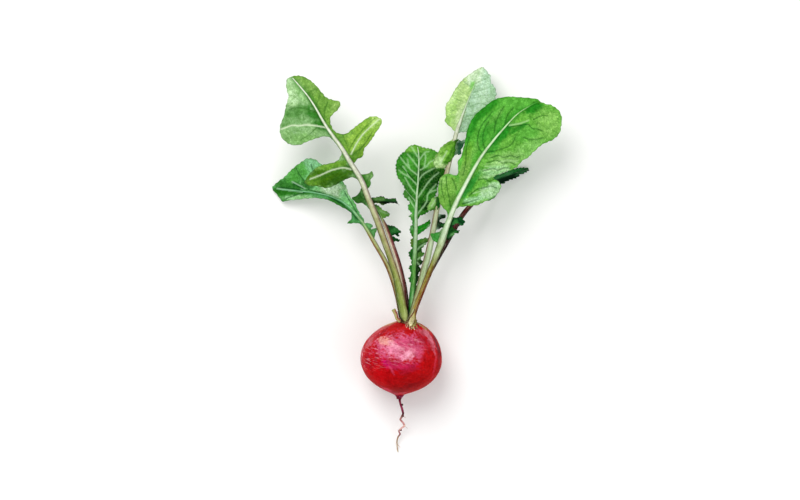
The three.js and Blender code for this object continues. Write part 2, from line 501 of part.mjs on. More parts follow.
// Globe with its flat spot on the surface, joined to the taproot and its nodules
function root() {
  const uneven = (a) => 1 + 0.01 * Math.sin(2 * a + 1) + 0.006 * Math.sin(3 * a + 2);
  const globe = loft(GLOBE_PROFILE.map(([distance, radius]) =>
    ringAt(distance, (a) => radius * uneven(a), GLOBE_SIDES)));
  let solid = solidOf(globe).trimByPlane([0, 0, 1], 0);
  const taproot = rod(TAPROOT.map(([x, y, z, radius]) => [x, y, z, radius * 2]), 8, 1.6, 1);
  solid = solid.add(solidOf(taproot));
  for (const [x, y, z, radius] of NODULES) {
    solid = solid.add(solidOf(new THREE.SphereGeometry(radius, 7, 5).translate(x, y, z)));
  }
  return geometryOf(solid);
}

// Distance of the globe's shoulder along its axis at a radius
function shoulderAt(radius) {
  let i = GLOBE_PROFILE.length - 1;
  if (radius <= GLOBE_PROFILE[i][1]) return GLOBE_PROFILE[i][0] + 0.2;
  while (GLOBE_PROFILE[i - 1][1] < radius) i--;
  const [d1, r1] = GLOBE_PROFILE[i];
  const [d0, r0] = GLOBE_PROFILE[i - 1];
  return d0 + ((d1 - d0) * (radius - r0)) / (r1 - r0);
}

// Collar of old leaf bases on the shoulder, with a torn lip
function crown() {
  const lip = (a) => {
    const off = THREE.MathUtils.euclideanModulo(a - THREE.MathUtils.degToRad(LIP_FRONT) + Math.PI, 2 * Math.PI) - Math.PI;
    const front = Math.exp(-((off / THREE.MathUtils.degToRad(LIP_SPREAD)) ** 2));
    const torn = 1 + TORN_DEPTH * (0.6 * Math.sin(7 * a) + 0.4 * Math.sin(12 * a + 1));
    return (LIP_RADIUS + LIP_HANG * front) * torn;
  };
  const under = (radius) => shoulderAt(Math.max(radius - CROWN_SHIFT, 0)) + SHOULDER_GAP;
  const shape = [
    [0.4, 0], [0.75, 0], [1, 0], [1, 1], [0.75, 1],
  ];
  const rings = shape.map(([share, side]) => ringAt(0, () => 1, CROWN_SIDES).map((unused, j) => {
    const a = (-j / CROWN_SIDES) * 2 * Math.PI;
    const radius = lip(a) * share;
    const distance = under(radius) + side * LIP_THICKNESS;
    return ringAt(distance, () => radius, CROWN_SIDES, CROWN_SHIFT)[j];
  }));
  rings.push(ringAt(CROWN_TOP, () => CROWN_RADIUS, CROWN_SIDES, CROWN_SHIFT * 0.6));
  rings.push(ringAt(CROWN_TOP + 0.05, () => CROWN_RADIUS * 0.6, CROWN_SIDES, CROWN_SHIFT * 0.6));
  return loft(rings);
}

const radish = new THREE.Group();

function addPiece(name, geometry, color, roughness) {
  const mesh = new THREE.Mesh(
    geometry, new THREE.MeshStandardMaterial({ color, roughness, metalness: 0 }));
  mesh.name = name;
  radish.add(mesh);
}

addPiece('root', root(), 0xb3203a, 0.35);
addPiece('crown', crown(), 0x9a8a52, 0.7);
addPiece('old_stalk_stub', rod(STUB, 8, 2, STALK_FLATNESS), 0x9d8c58, 0.7);
for (const [name, leaf] of Object.entries(LEAVES)) {
  addPiece(`${name}_stalk`, rod(leaf.line, STALK_SIDES, STALK_STEP, STALK_FLATNESS), leaf.stalk, 0.55);
  addPiece(`${name}_blade`, blade(leaf), leaf.blade, 0.6);
}

export default radish;
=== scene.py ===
import math

import bpy
import numpy as np
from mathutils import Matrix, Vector, bvhtree, geometry, kdtree, noise


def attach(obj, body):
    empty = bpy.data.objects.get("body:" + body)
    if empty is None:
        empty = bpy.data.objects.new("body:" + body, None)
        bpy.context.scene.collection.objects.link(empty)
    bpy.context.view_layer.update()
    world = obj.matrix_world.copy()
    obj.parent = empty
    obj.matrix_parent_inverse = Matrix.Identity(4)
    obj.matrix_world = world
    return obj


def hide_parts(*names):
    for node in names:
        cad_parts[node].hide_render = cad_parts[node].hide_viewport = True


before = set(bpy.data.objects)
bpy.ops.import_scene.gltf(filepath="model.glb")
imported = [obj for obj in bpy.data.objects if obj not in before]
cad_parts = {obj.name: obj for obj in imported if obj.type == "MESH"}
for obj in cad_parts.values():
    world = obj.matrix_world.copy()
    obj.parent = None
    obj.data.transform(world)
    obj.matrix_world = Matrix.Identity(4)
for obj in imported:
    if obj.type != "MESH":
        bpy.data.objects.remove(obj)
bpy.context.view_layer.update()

# One radish with its leafy top on a pale floor, seen from above. The tables are in millimetres, the
# scene is in metres. The tables of places repeat the part's own source, except where they follow the
# photo more closely: the frill of the middle leaf beside its stalk, the upper lobes of the slender
# left leaf and the right lobe of the dark right leaf.
MM = 0.001

# The globe. Its profile is the distance along the axis, then the radius.
GLOBE_CENTRE = [0, -0.5, 19.5]
GLOBE_LEAN = 3
GLOBE_TIP_UP = 15
SHOULDER_SHIFT = 0.0065
FOOT_SHIFT = 0.0006
GLOBE_PROFILE = [
    [-20.8, 0.9], [-19.8, 1.25], [-18.9, 2], [-18.1, 3.3], [-17, 5.6], [-15.6, 8.4], [-13.8, 11.6],
    [-11.6, 14.6], [-9, 17.1], [-6, 18.9], [-3, 19.95], [0, 20.25], [3.5, 19.85], [7, 18.7], [10, 16.95],
    [12.5, 14.9], [15, 12.2], [17, 9.2], [18.3, 6.6], [19, 3.6],
]

# The taproot and its nodules are x, y, z, radius. The stub of an old leaf stalk is x, y, z, width.
TAPROOT = [
    [-0.9, -17, 15.4, 1.4], [-0.6, -21.5, 13.6, 0.95], [0, -24, 12.3, 0.8], [0.75, -26.5, 10.7, 0.75],
    [1, -28.25, 9.5, 0.7], [0.25, -30, 8.3, 0.65], [-0.25, -31.25, 7.4, 0.62], [1.25, -33, 6.2, 0.62],
    [1.5, -34.5, 5.3, 0.6], [0.25, -35.5, 4.7, 0.6], [-1, -37, 3.9, 0.55], [-0.5, -38.5, 3.2, 0.5],
    [-1.5, -40, 2.6, 0.48], [-2, -42, 2, 0.45], [-2, -44, 1.5, 0.4], [-1.75, -46.5, 1.1, 0.35],
]
NODULES = [
    [0.9, -23.6, 12.5, 0.85], [1.2, -29.2, 8.8, 0.9], [2, -34, 5.6, 0.85], [0.2, -36.4, 4.3, 0.8],
]
STUB = [[-1.9, 19.7, 27, 1.8], [-2.6, 22, 27.8, 2], [-3.75, 24.25, 28.6, 2.1]]

# Crown, and how the stalks and the blades of the solids are shaped
CROWN_SHIFT = 0.5
CROWN_TOP = 20.45
CROWN_RADIUS = 4.4
LIP_RADIUS = 5
LIP_HANG = 3.4
LIP_FRONT = 85
LIP_SPREAD = 38
LIP_THICKNESS = 0.8
SHOULDER_GAP = 0.38
STALK_FLATNESS = 0.75
STALK_GAP = 0.38
WING_INSET = 0.2
BLADE_ARCH = 0.05
RIPPLE = 0.3
BLADE_FLOOR = 0.8

# Each leaf's line is x, y, z and the width of the stalk, one entry for each whole station. Its margins
# are the station, x, y and the rise from the line, and a station alone where they hide behind the stalk.
LEAVES = {}
LEAVES["leaf_tall_left"] = dict(line=[
    [1.5, 19.1, 28, 4], [0.25, 27, 29.5, 4.4], [-1.75, 38, 32, 3.8], [-5, 49, 34.5, 3.3],
    [-8.5, 59, 36.5, 3.4], [-12, 69, 38, 3.5], [-16, 79, 39, 3.2], [-20, 89, 39.5, 3], [-25.5, 98, 39.5, 2.8],
    [-29.75, 105, 39.2, 2.7], [-35, 112.25, 38.5, 2.2], [-39, 118.5, 37.2, 1.8], [-42.25, 124.25, 35.6, 1.5],
    [-46.25, 130.5, 33.4, 1.2], [-51, 136.25, 30.6, 1], [-54.25, 140, 28.4, 0.7],
], left=[
    [4.9], [5.5], [5.75, -19, 77.2, -1], [5.95, -22, 77.4, -1.5], [6.1, -24.5, 80, -1.6],
    [6.25, -21.8, 81.4, -1], [6.45, -20, 84.5, -0.5], [6.65], [7], [7.15, -23.8, 90.2, -0.8],
    [7.25, -26.6, 89.6, -1.8], [7.35, -29.5, 88.2, -2.8], [7.45, -33, 86.25, -3.6], [7.55, -36.75, 84.9, -4],
    [7.65, -41.5, 85.75, -3.8], [7.73, -46.5, 86.4, -3.2], [7.8, -48.25, 88, -2.7],
    [7.87, -46.75, 90.5, -2.2], [7.94, -44, 93.75, -1.9], [8, -39.5, 96.4, -1.6], [8.1, -34.5, 97.4, -1.3],
    [8.3, -31.75, 98.6, -1], [8.55, -30.25, 100.5, -0.6], [8.75], [9.3], [9.7, -35.3, 109.9, -0.4],
    [9.84, -37.5, 110.7, -0.9], [9.95, -41.5, 109.9, -1.6], [10.07, -46.5, 108.2, -2.6],
    [10.2, -51.5, 106.25, -4], [10.42, -56.5, 107.25, -5.6], [10.7, -60, 111, -6.6], [11.1, -60.4, 116, -7],
    [11.5, -58.75, 120.5, -6.6], [12.1, -57.25, 127, -5], [12.6, -56.25, 130.5, -4.2],
    [13.1, -57, 133.5, -3.6], [13.6, -57.4, 136.5, -3], [14.4, -57, 139.25, -1.6], [15, -55.6, 140.4, -0.5],
], right=[
    [4.9], [6.4], [6.55, -16.6, 84.5, -0.4], [6.65, -15, 86.5, -0.9], [6.75, -15.25, 88.5, -1],
    [6.84, -13.75, 91.5, -1.5], [6.93, -14.5, 93.2, -1.4], [7.02, -17, 91.9, -0.9], [7.15, -20, 92, -0.5],
    [7.4], [7.8], [7.95, -23.1, 97.6, -0.5], [8.1, -21.5, 99.5, -1], [8.2, -19.25, 100.5, -1.6],
    [8.3, -18.25, 104.5, -2], [8.4, -15.25, 108.25, -2.4], [8.5, -12.5, 112.5, -2.6], [8.6, -10, 116.5, -2.9],
    [8.68, -9.5, 118.75, -3], [8.76, -12, 120.5, -2.6], [8.85, -15.5, 120.5, -2], [8.97, -19.5, 118, -1.2],
    [9.12, -23.5, 115, -0.6], [9.35, -27.5, 112, -0.2], [9.6, -30, 112, -0.2], [9.85, -32.1, 112.6, -0.2],
    [10.05, -33.4, 113.6, -0.2], [10.3, -34.5, 115.5, -0.3], [10.6, -35.35, 118, -0.4],
    [10.85, -35.25, 120, -0.5], [11.05, -34, 121.75, -1], [11.25, -32, 123.5, -1.6], [11.4, -30.6, 125.6, -2],
    [11.55, -30.4, 127.8, -2.2], [11.75, -33.5, 128.8, -1.7], [12.1, -37, 130, -1.2],
    [12.5, -40, 133.25, -1.2], [13.1, -43, 136.75, -1.3], [13.8, -46.75, 139.75, -1.2],
    [14.5, -51, 141.2, -0.8], [15, -53.6, 141.1, -0.3],
])
LEAVES["leaf_drooping_left"] = dict(line=[
    [0.2, 20.3, 24, 2.5], [-1.9, 31, 24.3, 2.5], [-4.6, 40.5, 24.7, 2.6], [-8, 48.5, 24.8, 2.5],
    [-11.75, 55, 24.8, 2.5], [-15.25, 61, 24.4, 2.3], [-18.5, 66.5, 23.6, 2.1], [-22, 71.25, 22.6, 1.8],
    [-26, 75.5, 21.4, 1.6], [-30.5, 78.75, 20, 1.4], [-36.5, 81.25, 17.8, 1.3], [-43.5, 82.75, 14.6, 1.2],
    [-50.5, 83.5, 10.8, 1], [-58, 84.25, 5.9, 0.8], [-64.5, 84.9, 1.5, 0.6],
], left=[
    [4.9], [5.9], [6.15, -21.25, 67.3, -0.6], [6.3, -24, 67.4, -1.1], [6.42, -27, 67.25, -1.8],
    [6.55, -25, 69.6, -1.4], [6.8, -24.75, 71.75, -1.2], [7.1, -25.75, 73.25, -1.4], [7.8, -29.75, 75.5, -2],
    [8.5, -33, 77.25, -2.8], [9.2, -36.5, 79, -3.4], [10, -42, 80, -4.2], [10.8, -47.25, 79.75, -5],
    [11.5, -52.5, 79.25, -5.4], [12.1, -57, 78.8, -4.6], [12.5, -59.25, 78.25, -4.2],
    [12.9, -60.75, 79.6, -3.4], [13.4, -62.25, 81.75, -1.8], [14, -64.4, 84, -0.3],
], right=[
    [4.7], [4.95, -13, 61.5, -0.4], [5.1, -12.3, 63.5, -0.8], [5.22, -11.6, 64.6, -1],
    [5.35, -13.6, 64.9, -0.7], [5.5, -15.2, 64.3, -0.3], [5.65, -14.1, 65.9, -0.8], [5.85, -16.4, 67.6, -0.4],
    [6.1], [6.4, -18.6, 69.2, -0.3], [6.9, -21.3, 73.5, 0], [7.3, -23, 77.5, 0.6], [7.7, -26, 81.5, 1],
    [8.1, -27.5, 86, 1.2], [8.45, -29.5, 88.5, 1.3], [8.9, -33.5, 92.75, 1.4], [9.5, -39.5, 96.6, 1.5],
    [10, -43, 99.3, 1.5], [10.5, -46.75, 99.9, 1.2], [11, -50.5, 97.75, 0.9], [11.7, -55, 94.25, 0.6],
    [12.4, -59, 90.25, 0.4], [13, -61.75, 88.4, 0.2], [13.6, -63.8, 86.6, 0.1], [14, -64.8, 85.8, 0],
])
LEAVES["leaf_slender_left"] = dict(line=[
    [2.5, 21, 20.7, 2], [2.3, 29, 20.6, 2.4], [0.75, 39, 20.2, 2.7], [-1.5, 48, 19.2, 2.7],
    [-4.5, 57, 18, 2.6], [-7.25, 64.5, 16.8, 2.3], [-10.25, 71.5, 15.4, 1.9], [-13, 76, 14.2, 1.4],
    [-14.3, 78, 13.5, 1.1], [-15.2, 79.3, 13, 0.8],
], left=[
    [3.6], [6.6], [7, -14.4, 76.9, -0.4], [7.6, -15.6, 78.2, -0.5], [8.3, -16.4, 79.4, -0.5],
    [9, -16, 80.2, -0.3],
], right=[
    [3.6], [4], [4.18, -3, 58.5, -0.5], [4.28, -1.6, 58.1, -1.2], [4.38, -0.5, 58.8, -1.7],
    [4.5, -2.3, 60, -1.1], [4.66, -4.2, 61.2, -0.6], [4.8, -3.4, 61.6, -1], [4.9, -0.9, 60.7, -1.7],
    [4.98, -1.1, 62.4, -1.6], [5.05, 0.25, 62.9, -2], [5.14, -1, 64.2, -1.6], [5.26, -3.5, 66, -1],
    [5.42, -6, 66.4, -0.5], [5.6, -9.6, 69.2, -0.4], [5.75, -7.5, 70.4, -0.9], [5.95, -5.5, 71.5, -1.4],
    [6.15, -6.5, 73, -1.1], [6.3, -7.8, 73.6, -0.8], [6.5, -8.8, 73.9, -0.6], [6.7, -10.5, 75.6, -0.4],
    [6.9, -12, 76.7, -0.2], [7.1, -13.2, 77.2, -0.1], [7.35, -12.6, 77.6, -0.2], [7.55, -10.5, 77.2, -0.8],
    [7.65, -9.4, 76.4, -1], [7.8, -7, 77.3, -1.4], [7.95, -2.4, 77.4, -2.1], [8.02, -1, 76.6, -2.3],
    [8.1, -2, 78.2, -2.1], [8.2, -2.8, 79.9, -1.8], [8.35, -5.5, 79.7, -1.2], [8.5, -7.5, 80, -0.9],
    [8.65, -9.5, 81, -0.6], [8.8, -11.8, 80.6, -0.3], [9, -14.6, 80.2, -0.1],
])
LEAVES["leaf_middle"] = dict(line=[
    [4.95, 20.7, 21.3, 2], [5.1, 29, 22, 2.2], [6, 37, 22.6, 2.5], [6.5, 45, 23, 2.5], [7, 53, 23, 2.2],
    [7.25, 60.5, 22.6, 1.9], [7.5, 67, 22, 1.7], [7.5, 72.25, 21.3, 1.5], [7.75, 77, 20.4, 1.4],
    [8, 82.25, 19.2, 1.2], [8.5, 87.5, 17.8, 1.1], [8.75, 93, 16, 1], [9, 98.5, 13.6, 0.9],
    [8.75, 103, 11, 0.8], [8.25, 105.75, 9.2, 0.7],
], left=[
    [1.4], [1.9, 4.9, 36.6, -0.5], [2.2, 3.8, 40, -0.6], [2.45, 4.9, 41.2, -0.4], [2.75, 4.8, 43, -0.5],
    [3, 3.9, 45.4, -0.6], [3.2, 5.1, 46.6, -0.4], [3.45, 5, 49, -0.5], [3.65, 3.9, 51.6, -0.6],
    [3.85, 4.3, 53.6, -0.6], [4.1, 5.5, 54.6, -0.4], [4.3, 4.9, 56.4, -0.5], [4.5, 4.8, 58.8, -0.5],
    [4.65, 5.7, 60, -0.4], [4.9, 4.5, 63.2, -0.6], [5.15, 4.5, 65.4, -0.6], [5.4, 5.6, 66.8, -0.4],
    [5.7, 5.6, 68, -0.5], [6, 4.8, 70, -0.8], [6.2, 3.9, 71, -1], [6.45, 5.4, 72.2, -0.4], [6.7, 4, 74, -0.9],
    [7, 3.4, 76, -1], [7.35, 4.4, 77.6, -0.9], [7.7, 1.5, 80.8, -1.4], [8, 1.1, 82.6, -1.6],
    [8.35, 1.9, 84.4, -1.5], [8.9, 0.1, 88, -2.1], [9.4, -1.5, 90.1, -2.5], [10, -2.4, 93.2, -2.9],
    [10.8, -2.4, 97.8, -3], [11.5, -0.8, 101.2, -2.8], [12.2, 2, 103.75, -2.3], [13, 4.5, 106.25, -1.6],
    [14, 7.2, 106.9, -0.3],
], right=[
    [0.8], [1.3, 7.2, 31.5, -0.5], [1.7, 8.4, 35, -0.7], [2, 7.8, 37.2, -0.5], [2.3, 9.4, 39.5, -0.7],
    [2.6, 8.6, 42, -0.6], [2.9, 10.2, 43.8, -0.8], [3.15, 9.2, 45.8, -0.6], [3.45, 11, 48, -0.9],
    [3.7, 9.8, 49.8, -0.7], [3.95, 11.8, 52, -1], [4.1, 10.2, 53.8, -0.7], [4.24, 11.5, 56, -0.9],
    [4.34, 13, 57.6, -1.3], [4.44, 14, 59.75, -1.5], [4.55, 11.5, 60, -1], [4.8], [5.05],
    [5.22, 12.3, 64.3, -0.9], [5.36, 14.5, 66.5, -1.4], [5.48, 14.5, 69, -1.4], [5.62, 11.6, 67.3, -0.8],
    [5.85], [6.2], [6.5, 9.5, 71, -0.3], [6.7, 12, 72, -0.6], [6.95, 14.6, 74.4, -1], [7.4, 16.3, 78.4, -1.3],
    [8.1, 17.8, 83, -1.7], [8.8, 18.6, 87, -2.1], [9.3, 20, 90, -2.5], [9.8, 22, 92.5, -2.9],
    [10.5, 21.3, 96.5, -3], [11.3, 20, 100.5, -2.9], [11.9, 18.3, 103, -2.6], [12.6, 15, 104.75, -2.1],
    [13.3, 11.5, 105.4, -1.3], [14, 9.2, 106.2, -0.4],
])
LEAVES["leaf_broad_right"] = dict(line=[
    [5.75, 18.8, 28.2, 3.2], [7.25, 25, 29.6, 2.8], [10.5, 33.5, 31.6, 2.8], [15.5, 46, 34.5, 3.2],
    [20, 57.5, 37.1, 3.6], [22, 63.5, 38.2, 3.1], [24, 69, 39.1, 2.8], [27.5, 77.5, 40.1, 2.6],
    [30, 82.5, 40.5, 2.4], [35, 92, 40.9, 2.1], [40, 100.5, 40.7, 1.8], [46, 108.5, 39.9, 1.5],
    [52, 115.5, 38.4, 1.2], [58, 121.75, 36.4, 0.9], [64, 125.75, 34.4, 0.8], [68.25, 127.9, 32.7, 0.6],
], left=[
    [3.2], [3.9], [4.05, 17.8, 57.7, -0.7], [4.2, 16.4, 58.4, -1.1], [4.35, 15.3, 60, -1.4],
    [4.48, 14.75, 62, -1.7], [4.62, 16.6, 62.5, -1.3], [4.8, 18.6, 63, -0.8], [5, 20, 64.2, -0.4], [5.3],
    [6.1], [6.3, 23, 72.8, -0.7], [6.42, 21.2, 74.8, -1.1], [6.55, 19.6, 77, -1.5], [6.7, 18.8, 79.7, -1.9],
    [6.88, 18.5, 83.2, -2.3], [7.05, 18.8, 87, -2.6], [7.17, 19.6, 90, -2.8], [7.3, 21.7, 91.7, -2.6],
    [7.46, 24.4, 92, -2.2], [7.7, 27.7, 91.3, -1.6], [8.05, 28.5, 94, -1.8], [8.5, 28.3, 98, -2.4],
    [8.85, 30, 100.75, -2.8], [9.2, 31.25, 105.5, -3.6], [9.6, 32.25, 110, -4.2], [10, 33.6, 115.5, -4.8],
    [10.5, 37, 121.5, -5.2], [11.1, 42, 125.75, -5.2], [11.7, 46.5, 129, -4.8], [12.4, 52, 130.5, -4.2],
    [13.2, 59.5, 130.3, -3.2], [14.2, 66, 129.75, -1.6], [15, 68.4, 129.3, -0.5],
], right=[
    [3.2], [6.5], [6.75, 28.1, 74.9, -0.3], [6.9, 31, 75.7, -0.8], [7.05, 34, 76, -1.4],
    [7.2, 38, 76.3, -2.2], [7.38, 41.8, 78.1, -3], [7.54, 45.5, 79.3, -3.7], [7.7, 48.5, 82.5, -4.2],
    [7.84, 50, 85.4, -4.5], [7.98, 49.2, 87.6, -4.3], [8.14, 46.2, 90.2, -3.7], [8.3, 48, 91.4, -4],
    [8.5, 51.5, 92.8, -4.4], [8.68, 55, 94, -4.8], [8.82, 58, 95.5, -5.1], [9, 60, 98, -5.3],
    [9.25, 63.5, 100.25, -5.6], [9.5, 66.5, 103.25, -5.8], [9.8, 70, 106.25, -6], [10.1, 73, 107.8, -6.2],
    [10.4, 76.4, 109.4, -6.4], [10.8, 79.25, 112.5, -6.6], [11.2, 80, 116, -6.5], [11.6, 80.4, 119.5, -6.2],
    [12.2, 79, 123.5, -5.5], [12.9, 75, 126.4, -4.3], [13.8, 72, 127.1, -2.8], [15, 69.4, 128.3, -0.5],
])
LEAVES["leaf_pale_right"] = dict(line=[
    [5.25, 19.8, 24.4, 2.3], [6.75, 27.25, 25.5, 2.5], [9, 34.5, 26.8, 2.9], [10.75, 41.5, 27.8, 3.2],
    [12.75, 48.5, 28.6, 3.4], [14.5, 56, 29, 3.2], [16, 63.5, 29, 2.8], [17.5, 72, 28.6, 2.6],
    [19.5, 80.5, 28, 2.5], [21.75, 88.5, 27.4, 2.4], [23.75, 96, 26.6, 2.3], [25.75, 104.5, 25.4, 2.2],
    [28, 113.5, 23.8, 2.1], [29.75, 118.5, 22.4, 1.8], [31.5, 123.5, 20.8, 1.4], [33.5, 128.5, 18.8, 1.1],
    [35.75, 134, 16.2, 1], [37.75, 139, 13.2, 0.9], [39.75, 143, 10.4, 0.7], [40.75, 145, 8.9, 0.6],
], left=[
    [5.5], [7.1], [7.25, 15.1, 74.4, -0.7], [7.38, 13, 75.2, -1.4], [7.55, 14, 77.2, -1.4],
    [7.7, 15.2, 78.8, -1.1], [7.86, 16.8, 79.4, -0.6], [8.1], [9.8], [10, 21.4, 95, -0.5],
    [10.15, 19.6, 94.9, -1], [10.3, 17.6, 95.3, -1.6], [10.45, 16.1, 97.2, -2], [10.6, 16.7, 99.3, -1.9],
    [10.78, 17.6, 101.7, -1.7], [10.95, 19.2, 103.8, -1.5], [11.12, 21, 106, -1.2], [11.3, 23, 107.7, -0.8],
    [11.55], [11.9], [12.05, 26.2, 114, -0.4], [12.25, 24.4, 115.8, -0.9], [12.5, 22, 118.4, -1.4],
    [12.85, 22.5, 121, -1.6], [13.3, 22.25, 123.6, -1.8], [13.8, 22.6, 127, -2], [14.3, 24.4, 129.5, -2],
    [14.8, 25.9, 132.4, -2], [15.4, 28.1, 136, -1.9], [16.1, 31, 139.5, -1.7], [16.8, 34, 141.9, -1.4],
    [17.7, 37.3, 144.2, -0.9], [19, 40.4, 145.9, -0.2],
], right=[
    [5.5], [6], [6.15, 19.4, 64.8, -0.5], [6.27, 22, 65.2, -1], [6.38, 22, 67.2, -1], [6.52, 19.4, 68, -0.5],
    [6.66, 20.4, 69.6, -0.6], [6.77, 22.5, 70.4, -1], [6.88, 21.8, 71.8, -0.9], [7.05], [10.5],
    [10.75, 28, 101.8, -0.5], [10.87, 29.75, 101.6, -0.9], [10.97, 30.1, 103.6, -1], [11.12, 31, 106, -1.1],
    [11.27, 32.5, 108.9, -1.4], [11.42, 29.8, 109, -0.8], [11.6], [11.85], [12, 30, 112.8, -0.3],
    [12.15, 33, 113.2, -0.9], [12.4, 37.4, 114.3, -1.7], [12.8, 41.6, 117.4, -2.4], [13.3, 44.6, 121.5, -2.8],
    [13.9, 46.5, 126, -3], [14.4, 47.3, 130, -2.9], [14.9, 47.8, 133, -2.7], [15.4, 46.6, 136.2, -2.5],
    [15.9, 44.9, 138.2, -2.1], [16.4, 45, 141, -1.9], [17.2, 43.2, 143.4, -1.3], [18.2, 42.2, 145, -0.6],
    [19, 41.5, 145.7, -0.2],
])
LEAVES["leaf_dark_right"] = dict(line=[
    [7.5, 20.4, 21.9, 2.1], [9.9, 30.5, 21.2, 2.3], [14.5, 40.5, 20, 2.3], [18.25, 48.5, 18.8, 2.2],
    [21.75, 55.5, 17.6, 2.1], [25.25, 62, 16.4, 2], [28.5, 67.75, 15, 1.9], [32, 73, 13.4, 1.8],
    [36, 77.5, 11.6, 1.7], [40, 82.25, 9.4, 1.5], [43, 85.5, 7.6, 1.4], [46.5, 88.5, 5.8, 1.2],
    [50.5, 90.5, 4.2, 1], [55, 91.9, 2.9, 0.9], [59.5, 93.25, 1.9, 0.8], [64, 94.4, 1.5, 0.6],
], left=[
    [3.4], [3.9], [4.1, 18.8, 57.3, -0.8], [4.35, 20.6, 59.6, -0.7], [4.6, 21.9, 62, -0.6],
    [4.8, 21.8, 64.6, -0.9], [5, 22.9, 68, -1.3], [5.25, 25, 70.4, -1.3], [5.55, 26.9, 70.2, -0.8], [5.95],
    [9.7], [10, 41.6, 87, -0.5], [10.4, 45.4, 89.9, -0.8], [10.8, 47.6, 91.6, -1], [11.3, 50.6, 92.4, -1],
    [11.9, 53.6, 93.7, -1], [12.5, 56.5, 94.6, -0.9], [13.2, 59.5, 95.3, -0.7], [14.1, 62.2, 95.5, -0.4],
    [15, 63.9, 95.3, -0.1],
], right=[
    [3.4], [4.5], [6.15], [9.4], [9.8, 44, 84.2, -0.5], [10.15, 47, 85.4, -0.9], [10.6, 49.6, 86.6, -1.1],
    [11, 51.5, 87.5, -1.1], [11.6, 54, 88.9, -1], [12.1, 56.2, 89.6, -1], [12.7, 58.4, 90.4, -0.9],
    [13.2, 59.6, 91.6, -0.8], [13.8, 61.8, 92.5, -0.6], [14.4, 63.2, 93.2, -0.4], [15, 64.5, 93.9, -0.1],
])

# Lobes that fold over the stalk of their own leaf, laid out as the leaves are
FOLDS = {}
FOLDS["leaf_pale_right_fold"] = dict(line=[
    [19.4, 95.4, 27.6, 0.5], [21.8, 98.6, 28, 0.5], [24, 102.2, 27.5, 0.5], [26.2, 106, 26.8, 0.5],
    [29.2, 109.9, 25.8, 0.4],
], left=[
    [0, 18.6, 94.9, -0.2], [0.2, 17.5, 95.3, -0.4], [0.5, 16.4, 97, -0.6], [0.9, 16.7, 99.2, -0.6],
    [1.4, 18.4, 101.9, -0.5], [2, 19.4, 104.6, -0.5], [2.5, 21.6, 106.7, -0.5], [3, 24.4, 108.2, -0.4],
    [3.5, 27.3, 108.9, -0.2], [4, 29, 109.9, 0],
], right=[
    [0, 20.2, 94.7, -0.2], [0.3, 21.6, 94.8, -0.3], [0.8, 23.8, 97.5, -0.4], [1.4, 26, 100.2, -0.4],
    [2, 27.2, 103.5, -0.4], [2.8, 27.2, 106.8, -0.3], [3.4, 28.4, 108.6, -0.2], [4, 29.2, 109.8, 0],
])
FOLDS["leaf_pale_right_flap"] = dict(line=[
    [13.2, 73.6, 28.5, 0.4], [14.9, 75.4, 29.5, 0.4], [16.4, 77.4, 29.8, 0.4], [17.8, 80.7, 29.4, 0.4],
], left=[
    [0, 13.15, 73.9, 0], [0.3, 13.4, 75.5, -0.2], [1, 14, 77.2, -0.3], [1.7, 15, 78.6, -0.3],
    [2.4, 15.6, 80.1, -0.2], [3, 17.4, 80.6, 0],
], right=[
    [0, 13.6, 73.55, 0], [0.4, 15.6, 73.9, -0.2], [0.9, 17, 74.3, -0.3], [1.3, 18.4, 74.2, -0.4],
    [1.8, 19.4, 76, -0.5], [2.5, 19.7, 78.5, -0.4], [3, 19.3, 81, -0.2],
])
FOLDS["leaf_dark_right_fold"] = dict(line=[
    [25, 66.3, 16, 0.4], [27.4, 68, 16.5, 0.4], [29.6, 68.4, 16.2, 0.4], [32.2, 68.3, 15.4, 0.4],
], left=[
    [0, 25.2, 67, -0.1], [0.5, 25.9, 68.4, -0.3], [0.9, 26.6, 69.8, -0.4], [1.5, 28.5, 70.4, -0.5],
    [2.1, 30, 70.6, -0.4], [2.6, 31.1, 69.5, -0.2], [3, 32.1, 68.5, 0],
], right=[
    [0, 25.3, 66, -0.1], [0.5, 26.7, 66.6, -0.3], [1.4, 28.5, 66.3, -0.4], [2.2, 30.3, 66, -0.3],
    [2.6, 31.5, 66.9, -0.2], [3, 32.1, 68, 0],
])
FOLDS["leaf_dark_right_curl"] = dict(line=[
    [23.2, 58.8, 18.2, 0.4], [24.6, 61.6, 18, 0.4], [26.6, 63.2, 17.3, 0.4], [29.7, 63.7, 16.4, 0.4],
], left=[
    [0, 22.9, 59.2, -0.1], [0.7, 23.3, 62.4, -0.3], [1.2, 24.1, 64.6, -0.4], [1.6, 25.2, 65.5, -0.4],
    [2.1, 26.9, 64.7, -0.3], [2.5, 28, 64, -0.2], [3, 29.5, 63.9, 0],
], right=[
    [0, 23.8, 59, -0.1], [0.7, 25.2, 60, -0.3], [1.3, 26.6, 61.9, -0.4], [1.9, 27.6, 62.3, -0.3],
    [2.4, 28.5, 62.4, -0.2], [3, 29.5, 63.5, 0],
])

# Fineness of the dressed surfaces, and how the solids' sheets are measured
SHEET_STEP = 0.05
SHEET_COLUMNS = 15
SHEET_NEIGHBOURS = 6
GRID = 0.5
ROW_STEP = GRID * 0.866
MARGIN_STEP = 0.3
HIDDEN_STEP = 0.8
VEIN_STEP = 0.32
RIB_STEP = 0.3
STALK_SIDES = 32
STALK_STEP = 0.5
GLOBE_STEP = 0.4
GLOBE_SIDES = 200
ROD_STEP = 0.3
LEVELLING_ROUNDS = 14
BLADE_THICKNESS = 0.45
RIM_THICKNESS = 0.22
UNDERSIDE_FLOOR = 0.05
ROOT_FLOOR = 0.02
LEAST_REACH = 0.35
LEAST_GAP = 0.05

